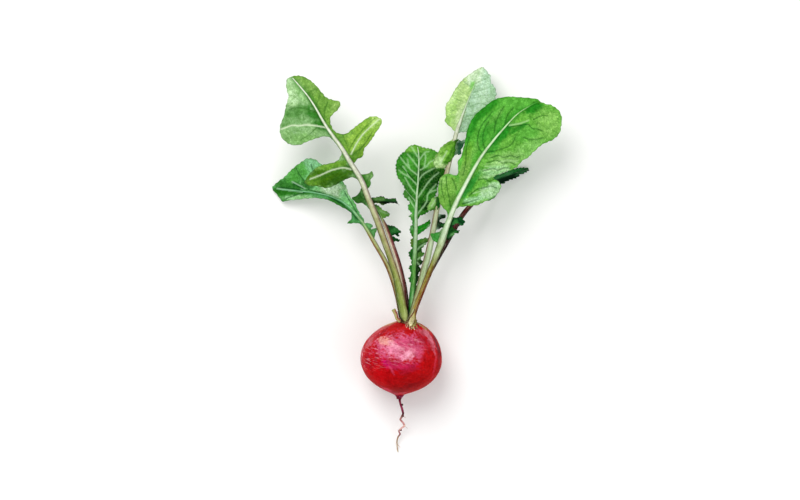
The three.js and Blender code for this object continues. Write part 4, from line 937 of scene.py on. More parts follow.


# Looks of each blade and stalk. Base is the colour left and right of the rib. Teeth are the style,
# depth and length of those on the left, then on the right. Vein and crease are a colour and its
# strength, and net has a scale besides; the crease colour is partly painted shade along the folds and
# partly dark veinlets. Foot takes the place of the line's first entry. Slim is the station and the share
# of the stalk's width, and shift the station and the way moved to the right.
# Washes are as blended says, veins and creases as drawn says; some washes are painted shade or painted
# light, as noted at the leaf. Stops are the station, then the colours from the stalk's left edge to its
# right edge; their pale middle tones are partly a painted highlight and their dark edge tones partly
# painted shade.
LOOKS = {}
LOOKS["leaf_tall_left"] = dict(
    base=(0x92BE82, 0x7EAE4A), rib_shade=0.6, quilt=0.3, ruffle=0.5, groove=0.25, mottle=0.9,
    teeth=(("wavy", 0.16, 3.4), ("wavy", 0.16, 3.0)), vein=(0xD6E6C4, 0.85), net=(0x4A7A34, 0.3, 520),
    crease=(0x336A1E, 0.8), foot=[2.1, 18.3, 28.2, 4],
    slim=[
        (0, 0.22), (0.12, 0.6), (0.3, 0.9), (0.6, 1), (7, 0.92), (9, 0.84), (11, 0.7), (13, 0.66), (15, 0.7),
    ],
    washes=[
        [-55, 131.5, 9, 3, 100, 0xC4E8B4, 0.9], [-49.5, 133, 7, 2.5, 120, 0xA0D08C, 0.7],
        # The darker washes in a band across the left half, along x -39 to -57 near y 117 to 123, are painted
        # shade
        [-52, 123, 7, 3.2, 12, 0x4F8F3C, 0.8], [-56.5, 117.5, 4, 2.5, 20, 0x6FA25C, 0.7],
        [-41.5, 118.5, 8, 3, 125, 0x2A7A1C, 0.95], [-50, 118.6, 8, 1.6, 3, 0x7FB070, 0.7],
        [-50, 109.5, 9, 3, 0, 0x8CC070, 0.8], [-42, 112.5, 6, 1.8, -5, 0x93BE80, 0.7],
        [-57.5, 110.5, 3.5, 5, 0, 0x8CBA78, 0.7], [-44, 127.5, 12, 1.8, 120, 0x4A8A30, 0.7],
        [-46, 136, 7, 3, 145, 0x86B25C, 0.7], [-38, 127, 5, 3, 120, 0x6FA044, 0.6],
        [-32, 125, 4, 3, 60, 0x9CC26A, 0.8], [-28, 109.5, 5, 2, -40, 0x5F9638, 0.8],
        [-19, 110.5, 13, 6, 50, 0x9CC850, 1], [-22, 101, 6, 3, 50, 0x5F9230, 0.8],
        [-12, 119, 5, 2.6, 50, 0xC0E480, 0.9], [-17, 106, 6, 1.6, 55, 0x7FA83A, 0.7],
        [-36, 91, 14, 6, 12, 0x427210, 1], [-35, 96.2, 10, 1.7, 10, 0x74A638, 0.9],
        [-44, 88.5, 4, 3, 0, 0x64962E, 0.8], [-30, 88.5, 6, 2, 15, 0x305E0C, 0.85],
        [-16.5, 89, 6, 5, 60, 0x4C8A38, 1], [-15, 91.5, 3, 2, 60, 0x86B070, 0.7],
        [-22, 79, 6, 5, 30, 0x2F6424, 1],
    ],
    stops=[
        [0, 0x3A4A1A, 0x9AA860, 0xA9B874, 0x8CA054], [1, 0x2C3C14, 0x748834, 0x94A850, 0x6A5A30],
        [2, 0x333F18, 0x7C8C3C, 0x9CAA5C, 0x6A4A34], [3, 0x3A3A18, 0x848E44, 0xA49E68, 0x5A302A],
        [4.5, 0x524226, 0x9CA268, 0xB0A67C, 0x5E362E], [6, 0x5E5E38, 0xB8C090, 0xC0BAA0, 0x604440],
        [7, 0x5A7040, 0xD4DAC0, 0xD4D4C6, 0x6E5E58], [8, 0x4C6A34, 0xD0D6BE, 0xD4D6C8, 0x7A7E6A],
        [10, 0x527A38, 0xD8E2CC, 0xE2E6DA, 0x76905A], [15, 0x9CBE86, 0xDCE8D2, 0xE4EEDC, 0x96B87C],
    ],
    veins=[
        (0.3, 0.26,
         [(-37.3, 115), (-40.1, 115.6), (-46.5, 116.4), (-51.3, 116), (-54.5, 116.2), (-59.7, 114.4)]),
        (0.24, 0.14, [(-24.9, 101.8), (-22.5, 106.6), (-19.3, 111.4), (-15.3, 115.4), (-10.9, 119.4)],
         [(-24.9, 94.2), (-28.9, 95), (-34.5, 93.8), (-40.1, 91.4), (-45.3, 89.4)]),
    ],
    creases=[
        (0.2, 0.1, [(-38.5, 119.4), (-37.9, 124.2), (-36.5, 127.8)]),
        (0.14, 0.08, [(-42.5, 125.5), (-41, 130), (-40, 133.5)],
         [(-47, 131.8), (-44, 133.8), (-41.5, 134.5)]),
        (0.16, 0.08, [(-41, 121.5), (-46, 124), (-51, 125), (-56, 124)]),
        (0.14, 0.08, [(-42, 115.2), (-46, 111.5), (-50, 109)]),
        (0.2, 0.1, [(-25.7, 104.2), (-22.5, 109.8), (-17.7, 115.4), (-12.9, 119.9)],
         [(-24, 101.5), (-19, 105.8), (-14.5, 112.5)]),
        (0.16, 0.08, [(-28.9, 111), (-27, 106.5), (-25.8, 103)]),
        (0.22, 0.1, [(-26.5, 93), (-32.1, 89.8), (-36.9, 86.6)]),
        (0.18, 0.1, [(-30, 94), (-37, 91), (-43, 88.6)]), (0.2, 0.1, [(-19.3, 86), (-17, 88), (-15.4, 91)]),
    ],
)
LOOKS["leaf_drooping_left"] = dict(
    base=(0x408E38, 0x7FCC80), rib_shade=0.3, quilt=0.3, ruffle=0.6, groove=0.2, mottle=1.0,
    teeth=(("wavy", 0.15, 3.2), ("wavy", 0.2, 2.8)), vein=(0xB4DCB8, 0.7), net=(0x2A6E3C, 0.14, 520),
    crease=(0x0E4A1C, 0.95), foot=[0.6, 18.7, 24, 2.5],
    slim=[(0, 1), (6, 0.85), (8, 0.7), (14, 0.6)],
    washes=[
        [-56.5, 86, 8, 5, 20, 0x2D7A1C, 0.9], [-51.5, 93.5, 7, 4, 40, 0x5FB44C, 0.85],
        [-44, 97, 6, 3.5, -45, 0x9DE0AC, 0.95], [-41, 92, 4, 5, 20, 0x7FCC88, 0.7],
        # The pale mint wash at x -33, y 84 is the leaf's own pale tone made lighter still, painted light
        # where the tall leaf's shadow falls on it
        [-33, 84, 9, 3.4, -15, 0xD8F6D4, 1], [-50.5, 80.2, 9, 1.5, 0, 0xAEE4A8, 0.9],
        [-40, 81, 6, 1.3, -5, 0x72C47C, 0.8], [-27.5, 79.5, 6, 2.2, -62, 0x99E49C, 0.95],
        [-47, 86.5, 4, 2, 0, 0x246A1C, 0.85], [-22.5, 70, 5, 3, -60, 0x5FA86A, 0.8],
        [-13, 63.5, 4, 4, 0, 0x5FA05C, 0.9],
    ],
    stops=[
        [0, 0x4A2418, 0x9A8850, 0xB0A86C, 0x5A4A2A], [3, 0x6E2018, 0x8A7040, 0xB4BC80, 0x4E2418],
        [5, 0x7A2A20, 0x8C8A4A, 0xB0C080, 0x3E3A20], [6, 0x2F6A2C, 0x7AA868, 0x9CC488, 0x3A6A34],
        [8, 0x2F8A44, 0x6AB27C, 0x9AD0A4, 0x2A7A3A], [10, 0x3A9450, 0x74BC88, 0x86C898, 0x2F7A3C],
        [12, 0x3A9450, 0x74BC88, 0x86C898, 0x2F7A3C], [14, 0x4A9A60, 0x96CCA0, 0xA4D2A8, 0x4A9A60],
    ],
    veins=[
        (0.22, 0.1, [(-54.5, 88.2), (-51, 86.4), (-48, 84.6)]),
        (0.22, 0.12, [(-62, 84.9), (-58.5, 84.3), (-52.5, 83.6), (-49.5, 82.8)]),
    ],
    creases=[
        (0.2, 0.24, [(-54.1, 87.2), (-50.5, 85.4), (-47.1, 84)]),
        (0.14, 0.24, [(-61.7, 85.6), (-58.5, 85.2), (-52.1, 84.4), (-48.4, 83.4)]),
        (0.16, 0.2, [(-58.5, 79.4), (-54.5, 81), (-48.1, 83)]),
        (0.24, 0.3, [(-46.5, 84.3), (-38.5, 81.9), (-30.5, 77.6), (-24.6, 72.4), (-21.8, 69.4)]),
        (0.16, 0.24, [(-28, 82.5), (-25, 77.5), (-22.2, 73)]),
        (0.14, 0.1, [(-48, 88), (-51, 92), (-52.5, 95)], [(-45, 87.5), (-44, 92), (-45, 97)]),
    ],
)
LOOKS["leaf_slender_left"] = dict(
    base=(0x2A5230, 0x28502E), rib_shade=0.3, quilt=0.2, ruffle=0.4, groove=0.2, mottle=0.8,
    teeth=(("sharp", 0.2, 1.8), ("sharp", 0.3, 1.7)), vein=(0x8FB08A, 0.6), net=(0x16301C, 0.2, 700),
    crease=(0x0C1A10, 0.85), foot=[2.55, 19, 20.8, 2], shift=[(0, 0.3), (1, 0.15), (2, 0)],
    slim=[(0, 1.3), (1, 1.2), (2.5, 1), (5.3, 0.9), (5.9, 0.35), (9, 0.4)],
    washes=[
        [-8, 79.6, 9, 1.1, 0, 0x2F642A, 0.95], [-11, 79.6, 3, 1.2, 0, 0x6A9C54, 0.8],
        [-9, 77.5, 11, 1, -3, 0x040A04, 1], [-2, 77, 2.4, 1.2, 0, 0x0C140C, 0.9],
        [-8.5, 72.6, 5.4, 3.4, -48, 0x7CB054, 1], [-6.4, 71.6, 2, 1.4, 20, 0x5A9438, 0.8],
        [-12.4, 74, 4.6, 0.9, -58, 0x2A5A1C, 0.85], [-2.5, 62.8, 5, 4, 20, 0x1F6A2C, 0.95],
        [-1.2, 61.4, 3, 1.4, 10, 0x0A4218, 0.9], [-3, 64, 3, 1.2, 20, 0x3F8A44, 0.8],
        [-2.5, 59.4, 4, 1.4, 10, 0x0C4A18, 0.9],
    ],
    # The first stops, near black and darkest on the right, are partly painted shadow in the gap beside the
    # middle leaf's stalk, over the stalk's own maroon
    stops=[
        [0, 0x2A1410, 0x3A1A18, 0x3A1614, 0x1A0C0A, 0x100808],
        [1, 0xA89C74, 0x8A5A48, 0x5A2020, 0x3A1214, 0x200A0C],
        [2, 0xB8B08C, 0xE8E0C8, 0x8A4448, 0x5A161E, 0x3A0E14],
        [4, 0x8C8A5C, 0xEAE2CC, 0xA87068, 0x6A2430, 0x4A141C],
        [5.4, 0x5A5A34, 0xC0B49A, 0x9A7A60, 0x6A3A34, 0x4A2A20],
        [5.9, 0x4A7A34, 0x6A9A4C, 0x7CA858, 0x6A9A4C, 0x3A6A28],
        [7.2, 0x2F4A2A, 0x3F5834, 0x46603C, 0x3F5834, 0x24401F],
        [9, 0x1F3A1C, 0x2F4E28, 0x2F4E28, 0x2F4E28, 0x1A3018],
    ],
    veins=[(0.16, 0.08, [(-11, 73.8), (-8, 72.6), (-5.8, 72)])],
    creases=[
        (0.3, 0.2, [(-13, 77), (-8, 76.4), (-3, 76.8)]), (0.2, 0.12, [(-5, 60.5), (-3, 62), (-1, 61.5)]),
    ],
)
LOOKS["leaf_middle"] = dict(
    base=(0x348624, 0x2C781A), rib_shade=0.3, quilt=0.7, ruffle=0.7, groove=0.15, mottle=1.0,
    teeth=(("round", 0.32, 1.8), ("round", 0.32, 1.9)), vein=(0xB8E4AC, 0.8), net=(0x8CC46A, 0.2, 430),
    crease=(0x0C4210, 0.9), foot=[4.9, 18.8, 21.2, 2], shift=[(0, -0.5), (0.6, -0.1), (1, 0)],
    slim=[(0, 0.6), (0.6, 1), (1, 1.1), (3, 0.95), (5, 1.1), (7, 1.1), (10, 0.85), (14, 0.75)],
    washes=[
        [1, 84, 2.6, 7, 12, 0x5C9A48, 0.75], [-0.4, 92, 2, 6, 8, 0x4C9838, 0.7],
        [4.6, 78, 2, 5, 14, 0x5CA04C, 0.7], [8, 105, 9, 2.2, 0, 0x82C450, 0.85],
        [14, 99.5, 4.5, 5, 0, 0x61AF3F, 0.8], [16.5, 97, 3, 3, 0, 0x82BC50, 0.7],
        [0.5, 96, 3, 7, 10, 0x338D22, 0.7], [5, 97, 3, 4, 20, 0x4EA737, 0.7],
        [12, 89, 5, 6, 40, 0x0D4B04, 0.95], [17.5, 90.5, 3, 5, 10, 0x093D08, 0.85],
        [4, 82, 3, 6, 20, 0x1C6A16, 0.45], [13, 76, 3, 3, 0, 0x093508, 0.9],
        [4.5, 74, 3, 4, 0, 0x4EA73D, 0.7], [12, 64, 5, 4, 60, 0x1A8D1D, 0.9],
        [13, 57, 5, 3, 60, 0x1C5C22, 0.8], [4.5, 66, 3, 2.5, 90, 0x75B676, 0.8],
        [4, 71, 2.5, 2, 90, 0x7DB46D, 0.8], [5, 58.5, 3, 1.6, 90, 0x617C37, 0.85],
        [12.5, 57.6, 4, 3, 50, 0x507C32, 0.85], [10, 55, 4, 2, 40, 0x2D5C22, 0.8],
        [9, 44, 10, 3, 90, 0x0D2913, 0.95], [9.6, 51, 3, 1.8, 40, 0x558D37, 0.8],
        [4, 52, 3, 2, 90, 0x1C5C24, 0.85], [4.4, 42, 7, 2, 90, 0x338337, 0.85],
    ],
    stops=[
        [0, 0x123A14, 0x1F7A28, 0x6AB860, 0x123A12], [1, 0x1A5A1C, 0x2F9038, 0x9ADC90, 0x1A5A1C],
        [2, 0x1F6420, 0x4C983C, 0x66AA50, 0x1A4A18], [3, 0x2A7626, 0x589C40, 0x6AA850, 0x1F5420],
        [4, 0x3F8238, 0x84B27C, 0x8ABA7C, 0x36702E], [5, 0x5C9250, 0xB0CEAA, 0xA8C8A0, 0x528248],
        [7, 0x6A9E60, 0xB8D2B4, 0xB0CEAC, 0x5A9050], [9, 0x5A9A50, 0xBCD8B4, 0xB8D4B0, 0x5A9650],
        [14, 0x86BA7C, 0xC4DEBA, 0xC4DEBA, 0x86BA7C],
    ],
    veins=[
        (0.13, 0.07, [(8.6, 100.3), (6.4, 104), (5.1, 106.2)], [(8.6, 95.3), (5.8, 99), (3.3, 102.1)]),
        (0.14, 0.07, [(8.3, 91.5), (4.5, 94.6), (0.8, 99), (-0.5, 100.9)],
         [(8.1, 86.5), (4.5, 90.3), (1.4, 92.1), (-1.1, 94)]),
        (0.14, 0.062, [(7.9, 81.5), (4.5, 85.9), (2, 90.3)]),
        (0.13, 0.062, [(7.8, 77.8), (4.5, 81.5), (2.6, 84)]),
        (0.12, 0.06, [(7.6, 74), (5.1, 77.8), (3.9, 80.3)]),
        (0.1, 0.06, [(4.5, 94.6), (3.6, 97.5), (3.3, 99.5)]),
        (0.088, 0.06, [(4.5, 90.3), (2.2, 94), (1, 96)]),
        (0.13, 0.062, [(8.9, 99), (12, 102.8), (13.9, 103.4)],
         [(8.8, 94), (11.4, 95.3), (12.3, 100.3), (11.8, 103)]),
        (0.14, 0.062, [(8.8, 89), (11.4, 92.1), (15.8, 94.6), (18.3, 95.3)]),
        (0.15, 0.07, [(8.7, 80.5), (12.6, 86.5), (15.8, 90.3), (18.9, 92.8)],
         [(8.2, 72), (12.6, 77.8), (13.6, 82.1), (17.6, 87.1)]),
        (0.088, 0.06, [(13.6, 82.1), (15.6, 83.4), (17.6, 84)], [(12.4, 95.5), (14.5, 98), (16.5, 99)]),
        (0.15, 0.08, [(8.6, 61.2), (11.6, 63.4), (14, 66.4)]),
        (0.14, 0.1, [(8.4, 49.4), (9.6, 50.3), (10.8, 51)], [(8.1, 47.8), (9.2, 46.6), (10.5, 46)]),
        (0.15, 0.088, [(7.9, 53.8), (9.6, 55.7), (12.8, 57.6)]),
    ],
    creases=[
        (0.2, 0.1, [(9.6, 86), (13, 91), (18, 95.6)]), (0.22, 0.12, [(9.4, 77), (12.4, 82.5), (17.5, 89.5)]),
        (0.2, 0.1, [(7, 88.6), (3, 92.8), (-0.6, 96)], [(6.6, 79), (3.4, 83), (2, 86.5)]),
        (0.24, 0.12, [(8.6, 59.5), (12, 61.8), (15, 65.5)]), (0.2, 0.1, [(6.4, 65), (5, 68), (4.6, 71)]),
    ],
)
LOOKS["leaf_broad_right"] = dict(
    base=(0x5EB240, 0x72BA4A), rib_shade=0.4, quilt=0.4, ruffle=0.8, groove=0.2, mottle=0.95,
    teeth=(("wavy", 0.12, 3.6), ("wavy", 0.2, 3.2)), vein=(0xA8D490, 0.8), net=(0x2C7A20, 0.3, 480),
    crease=(0x0F5014, 0.85), foot=[5.3, 18, 28.4, 3.2],
    slim=[(0, 0.8), (0.5, 0.95), (1.5, 1), (3, 0.9), (4, 1), (6, 0.95), (9, 0.88), (12, 0.75), (15, 0.6)],
    washes=[
        [42, 124, 11, 2.4, 42, 0x1E8619, 0.85], [34, 113, 8, 2.4, 62, 0x248C1F, 0.8],
        [45, 116, 9, 4.5, 50, 0x57AF3F, 0.7], [40, 109, 8, 2, 60, 0x2F9026, 0.6],
        [59.5, 127, 9, 2.4, -6, 0x66BA48, 0.7], [66, 124.6, 5.5, 2.4, 24, 0x168416, 0.9],
        [57, 121, 7, 2, 42, 0x379B2B, 0.6], [74, 117, 7, 7, 0, 0x90CA63, 0.85],
        [62, 112, 7, 4, 20, 0x62B645, 0.7], [64, 104.5, 8, 4, 30, 0x90D26C, 0.85],
        # The dark green wash at x 50.5, y 112 is painted shade below the rib
        [50.5, 112, 8, 2.6, 48, 0x168A1C, 0.9], [46, 105, 4, 2.2, 30, 0x2A972B, 0.7],
        [53, 99, 8, 4, 10, 0x9CD378, 0.85], [47, 93, 8, 3, 12, 0xACE0A2, 0.9],
        [34.5, 86, 9, 1.9, 56, 0x289736, 0.85], [44.5, 83.5, 6, 3.6, 30, 0xBFE4B9, 0.95],
        [36, 79, 5, 1.6, 12, 0xB0E4AE, 0.9], [40, 77.3, 4, 1.5, 12, 0x88C267, 0.8],
        [32, 94.5, 11, 2.4, 74, 0x8CB85A, 0.75], [33.5, 103, 6, 2, 70, 0x6EAF36, 0.7],
        [23, 83, 9, 5, 80, 0x82B852, 0.95], [20, 88.5, 3, 3, 0, 0x99C86E, 0.8],
        [26, 78, 5, 2, 70, 0x62953F, 0.7], [50, 97.6, 8, 0.8, 6, 0xB3E492, 0.8],
        [48, 94.2, 8, 0.7, 4, 0xBFE8AE, 0.8], [44, 90.8, 5, 0.7, 8, 0xB0E09A, 0.8],
        [37, 104, 5, 1.6, 70, 0x7BBE55, 0.7], [48, 121.5, 6, 1.4, 46, 0x72B651, 0.7],
        [58, 114.4, 7, 1.2, 30, 0x21861F, 0.8], [47, 80.4, 6, 0.8, 30, 0x2D7624, 0.7],
        [17.5, 61, 5, 4, 20, 0x4A9F48, 1], [22.5, 66.5, 5, 2, 60, 0xAEC2A1, 0.8],
    ],
    stops=[
        [0, 0xE2D8AC, 0xC4B474, 0x98803E, 0x7A3A24], [1, 0x948A50, 0x9A8638, 0x6E421A, 0x5E1810],
        [2, 0x5E2A14, 0x968638, 0x743E1C, 0x5A140E], [3, 0x4E2C14, 0x909038, 0x72602A, 0x4A1A10],
        [3.5, 0x5A6A34, 0xA8BC84, 0xB8C890, 0x3A4A24], [4.5, 0x6A8E58, 0xB4CEA8, 0xC8DCBC, 0x4F6E3C],
        [6, 0x78A468, 0xCCDEC0, 0xD8E6CC, 0x6A9658], [8, 0x78B068, 0xD4E4C8, 0xDCE8D2, 0x4A9A44],
        [11, 0x6AAE56, 0xC8E0B8, 0xCCE4C0, 0x3A9034], [13.2, 0x64AE4C, 0xA8D492, 0xA4D08C, 0x3A8A2C],
        [14.2, 0x4C9A38, 0x5CA844, 0x48A034, 0x2F8A26], [15, 0x3A9A30, 0x3A9A30, 0x3A9A30, 0x3A9A30],
    ],
    veins=[
        (0.36, 0.18, [(54.2, 116.2), (59.5, 117.2), (63.5, 118.6)]),
        (0.2, 0.1, [(48.5, 97.4), (53, 98.8), (58, 98)], [(36, 82.2), (41, 83.6), (46.5, 84.2)],
         [(42, 95.6), (48, 96.2), (54, 96.2)]),
    ],
    creases=[
        (0.22, 0.14,
         [(54.7, 115.5), (60.3, 116.3), (63.5, 116.6), (65.5, 114.6), (67.9, 114.4), (70.7, 113.4)]),
        (0.2, 0.12, [(42.7, 102.6), (46.7, 103.4), (53.1, 105.4), (55.9, 107.8), (57.1, 110.6)]),
        (0.18, 0.1, [(44.3, 99.8), (48.3, 101), (51.5, 100.2), (54.7, 101), (57.9, 100.2), (59.5, 101)],
         [(43, 97.4), (47.5, 98.6), (50.7, 97.4), (53.9, 97.8), (57.1, 96.6)],
         [(41, 93.4), (45.9, 94.6), (48.3, 93.8), (51.5, 95), (54.7, 94.6)],
         [(38.7, 89), (41.9, 89.4), (44.3, 88.2), (46.7, 89.4)]),
        (0.2, 0.12, [(33.9, 81), (37.9, 84.2), (41.1, 85), (45.1, 85.8), (47.5, 85)]),
        (0.34, 0.14, [(30.8, 77), (35.5, 78.4), (38.5, 79.4)]),
        (0.2, 0.1, [(40.7, 102.2), (38.7, 105), (38.3, 110.6), (40.3, 116.2), (43.5, 120.2), (45.9, 123.4)]),
        (0.16, 0.08, [(41.8, 104.2), (40.7, 109), (41.8, 114.6), (43.7, 117.8)],
         [(46.7, 112.4), (47.1, 117), (49.1, 121.8), (51.5, 125.8)], [(52, 117), (53, 121), (56, 125)]),
        (0.18, 0.1, [(31, 91.4), (32.3, 97.8), (32.6, 104.2), (34, 110)]),
        (0.2, 0.12, [(22.6, 90.6), (22.9, 85.3), (23.9, 80.3), (24.7, 75.6)]),
        (0.16, 0.1, [(25.4, 90), (26.7, 87.2), (27.6, 84)]),
        (0.14, 0.1, [(20.1, 88.6), (20.4, 84), (21.6, 79)]),
        (0.14, 0.08, [(61, 110), (66, 109), (71, 110)], [(66, 119), (70, 121), (73, 121)]),
    ],
)
LOOKS["leaf_pale_right"] = dict(
    base=(0xC0E094, 0xBADCC0), rib_shade=0.14, quilt=0.4, ruffle=0.6, groove=0.2, mottle=0.8,
    teeth=(("wavy", 0.15, 3.0), ("round", 0.35, 2.6)), vein=(0xDCE8D4, 0.5), net=(0x86A882, 0.2, 480),
    crease=(0x5C8A50, 0.55), foot=[4.2, 18.8, 24.4, 2.3],
    slim=[(0, 0.9), (1, 1), (9, 1), (12, 1), (14, 0.85), (16, 0.55), (19, 0.4)],
    washes=[
        [37, 141, 6, 4, 60, 0xE4F8DC, 0.9], [35.9, 136.6, 2.4, 1.5, 70, 0x7CCC5C, 0.85],
        [25, 124, 9, 3, 75, 0xB0DC7C, 0.8], [24.5, 131, 5, 3, 60, 0xD0F0A8, 0.8],
        [30, 122, 6, 2, 70, 0xDCF0BC, 0.7], [42, 128, 9, 4, 80, 0xCCEACE, 0.6],
        [45.5, 133, 5, 2, 95, 0xB4DCBA, 0.6], [35.5, 118, 5, 2.4, 75, 0x98C49A, 0.6],
        [22.5, 118.5, 3, 2, 60, 0x9CD068, 0.75], [21, 100.5, 7, 4, 60, 0x6C9E3C, 1],
        [18, 97, 3, 3, 0, 0x93BC70, 0.8], [30.5, 105, 5, 3, 70, 0x2F6248, 1],
        [15.5, 77, 5, 4, 30, 0x93BC74, 1], [21, 68, 5, 4, 40, 0x0A2410, 1],
        [22, 66.4, 2, 1, 0, 0x1F5A24, 0.8],
    ],
    stops=[
        [0, 0x3A3418, 0xA8B07C, 0xC8CC9C, 0x6A3A24], [1.5, 0x4A4020, 0xA4B47C, 0xC4CCA0, 0x7A6A44],
        [3, 0x5A342A, 0xA4BC8C, 0xB4CA9C, 0x78885A], [5, 0x6A302C, 0xAEC49C, 0xC0D2B0, 0x7E8E68],
        [7, 0x6A3A30, 0xA8B48C, 0xB8BE9C, 0x746E54], [9, 0x6A5040, 0xB4A88A, 0xC0B49A, 0x7A7458],
        [10.5, 0x7A6C50, 0xC8C4A8, 0xD4D0B8, 0x86886A], [12, 0x8C9E78, 0xE0E4D2, 0xDCE2CE, 0x7E946C],
        [14, 0x86A878, 0xD4E2CA, 0xC8DABE, 0x86A87A], [16.5, 0x86AC7A, 0xA4C498, 0x9CBE92, 0x82A67C],
        [19, 0x9CC090, 0xACCAA2, 0xACCAA2, 0x9CBE96],
    ],
    veins=[(0.16, 0.08, [(26, 100), (23.5, 98.5), (20.5, 97)])],
    creases=[
        (0.16, 0.08, [(36.7, 138.6), (38, 141.5), (39.5, 143.8)]),
        (0.14, 0.08, [(34.7, 130.6), (30.7, 133), (28.3, 135.4)], [(33.9, 127.4), (29.1, 129), (26.7, 129.8)],
         [(32.2, 124), (28, 124.5), (24.5, 122.8)], [(36.3, 133), (41.9, 134.6), (45, 135.8)],
         [(35.5, 129.8), (41.1, 131.4), (45.9, 131.4)], [(34.5, 125.8), (39.5, 127.4), (44, 126)],
         [(32.5, 121), (37, 121.4), (41.5, 118.8)], [(37.5, 137.5), (42, 139.5), (44, 140.5)],
         [(35.8, 135.5), (32, 138), (31, 139.4)]),
        (0.2, 0.1, [(26.3, 106), (24, 104), (21, 99), (18.5, 96.5)]),
    ],
)
LOOKS["leaf_dark_right"] = dict(
    base=(0x245A30, 0x123820), rib_shade=0.2, quilt=0.25, ruffle=0.4, groove=0.15, mottle=0.9,
    teeth=(("sharp", 0.3, 2), ("sharp", 0.55, 2.1)), vein=(0x5A8A62, 0.5), net=(0x0A1C12, 0.25, 700),
    crease=(0x06140C, 0.8), foot=[6.8, 17.6, 22.2, 2], shift=[(0, -2), (1, -1.5), (2.5, -0.5), (4, 0)],
    slim=[(0, 0.4), (1, 0.5), (2.5, 0.8), (4, 1.1), (5.5, 1.35), (8, 1.35), (9, 1.1), (11, 0.6), (15, 0.4)],
    washes=[
        [52, 92, 9, 1.1, 22, 0x3C8C4C, 0.85], [58, 94, 4, 0.8, 20, 0x2A7A3C, 0.8],
        [46, 88, 3, 1.4, 20, 0x2A7040, 0.8], [50, 88.6, 8, 0.8, 24, 0x0A2412, 0.9],
        [60, 92.6, 3, 0.8, 20, 0x3A7A4A, 0.7], [24, 66, 5, 3, 60, 0x2A5A34, 0.8],
        [29, 64, 4, 3, 60, 0x123A22, 0.8], [20, 60, 4, 2, 60, 0x3A6E3C, 0.7],
    ],
    stops=[
        [0, 0x3A0E10, 0x6A2420, 0x5A1A1A, 0x2A0A0C], [2, 0x1E0E0C, 0x42201A, 0x30140F, 0x140A08],
        [4.6, 0x1E0C0C, 0x40181A, 0x2E1012, 0x160808], [6.2, 0x2A0C10, 0x642024, 0x48141A, 0x1F080C],
        [9, 0x2F0E12, 0x7A2E30, 0x5A1A20, 0x240A10], [10.3, 0x1F2A18, 0x3F4A30, 0x2F3A26, 0x14180F],
        [11.5, 0x1A4A28, 0x2A6A3C, 0x1F5230, 0x143A20], [15, 0x1A4828, 0x24643A, 0x1F5A34, 0x143820],
    ],
    veins=[(0.14, 0.08, [(48, 90), (52, 91.6), (56, 93)])],
    creases=[(0.3, 0.16, [(46, 87), (51, 88.6), (57, 90.8)]), (0.2, 0.1, [(27, 61), (29, 64), (30, 67)])],
)
LOOKS["leaf_pale_right_fold"] = dict(
    LOOKS["leaf_pale_right"],
    base=(0x8CC458, 0x60A434), mottle=1.0, net=(0x3A6E20, 0.2, 480), crease=(0x1F4A10, 0.55),
    washes=[
        [18.6, 98, 3.4, 2.4, 70, 0xC0E4A0, 0.9], [20.6, 96, 3, 1.2, 10, 0xCCE4A8, 0.8],
        [24.4, 105.6, 4, 1.6, 50, 0x7CBC3C, 0.8], [26.6, 103.6, 4.4, 1, 80, 0x4A8A20, 0.9],
        [28.2, 108.8, 2, 1.4, 40, 0x2F5A14, 0.9], [23, 99, 3, 1, 60, 0x54982A, 0.7],
    ],
    veins=[(0.1, 0.08, [(19.6, 97), (21.2, 100.4), (23, 103.6)])],
    creases=[
        (0.16, 0.1, [(22, 105.8), (24.6, 107), (27.4, 108)]),
        (0.16, 0.08, [(24.6, 101), (25.4, 104), (26, 106.6)]),
    ],
)
LOOKS["leaf_pale_right_flap"] = dict(
    LOOKS["leaf_pale_right"],
    base=(0x90C46C, 0x2A6A24), mottle=0.8, net=(0x3A6E20, 0.2, 480), crease=(0x1F4A10, 0.55),
    washes=[
        [15.4, 76.6, 3.4, 1.8, 50, 0x94C870, 1], [16.4, 74.6, 1.8, 0.7, 20, 0x4A8A2C, 0.9],
        [18.8, 77.6, 4, 1.2, 80, 0x145A18, 1],
    ],
    veins=[(0.08, 0.07, [(15.2, 76), (16.4, 77.6), (17.4, 79.6)])],
    creases=[(0.14, 0.1, [(17.4, 80), (17.8, 77.6), (17.2, 75)])],
)
# The fold and the curl lie in the broad leaf's shadow; their colours are lighter than the dark leaf's own,
# partly painted light against that shadow
LOOKS["leaf_dark_right_fold"] = dict(
    LOOKS["leaf_dark_right"],
    base=(0x1F6A34, 0x2A7A3C),
    washes=[
        [27.4, 68, 1.8, 1.6, 20, 0x54AC5C, 0.9], [30.4, 68, 2, 1.6, 0, 0x145A2A, 0.9],
        [26.4, 69.4, 1.6, 0.7, 40, 0x1A6A34, 0.9],
    ],
    veins=[(0.1, 0.08, [(26, 66.8), (28.5, 66.8), (30.6, 66.5)])],
    creases=[(0.14, 0.1, [(28.6, 70), (29.2, 68.4), (31, 67.6)])],
)
LOOKS["leaf_dark_right_curl"] = dict(
    LOOKS["leaf_dark_right"],
    base=(0x1F6424, 0x124A18),
    washes=[
        [25.6, 61.6, 2.4, 0.7, 40, 0x84CC74, 0.9], [27.8, 63.2, 2, 0.9, -10, 0x1F6A24, 0.9],
        [24.2, 60, 1.6, 0.7, 50, 0x0A2A10, 0.9],
    ],
    veins=[(0.12, 0.08, [(24, 60.2), (25.6, 61.9), (27.6, 62.9)])],
    creases=[(0.14, 0.1, [(24, 62.4), (25.6, 63.9), (27.4, 63.9)])],
)


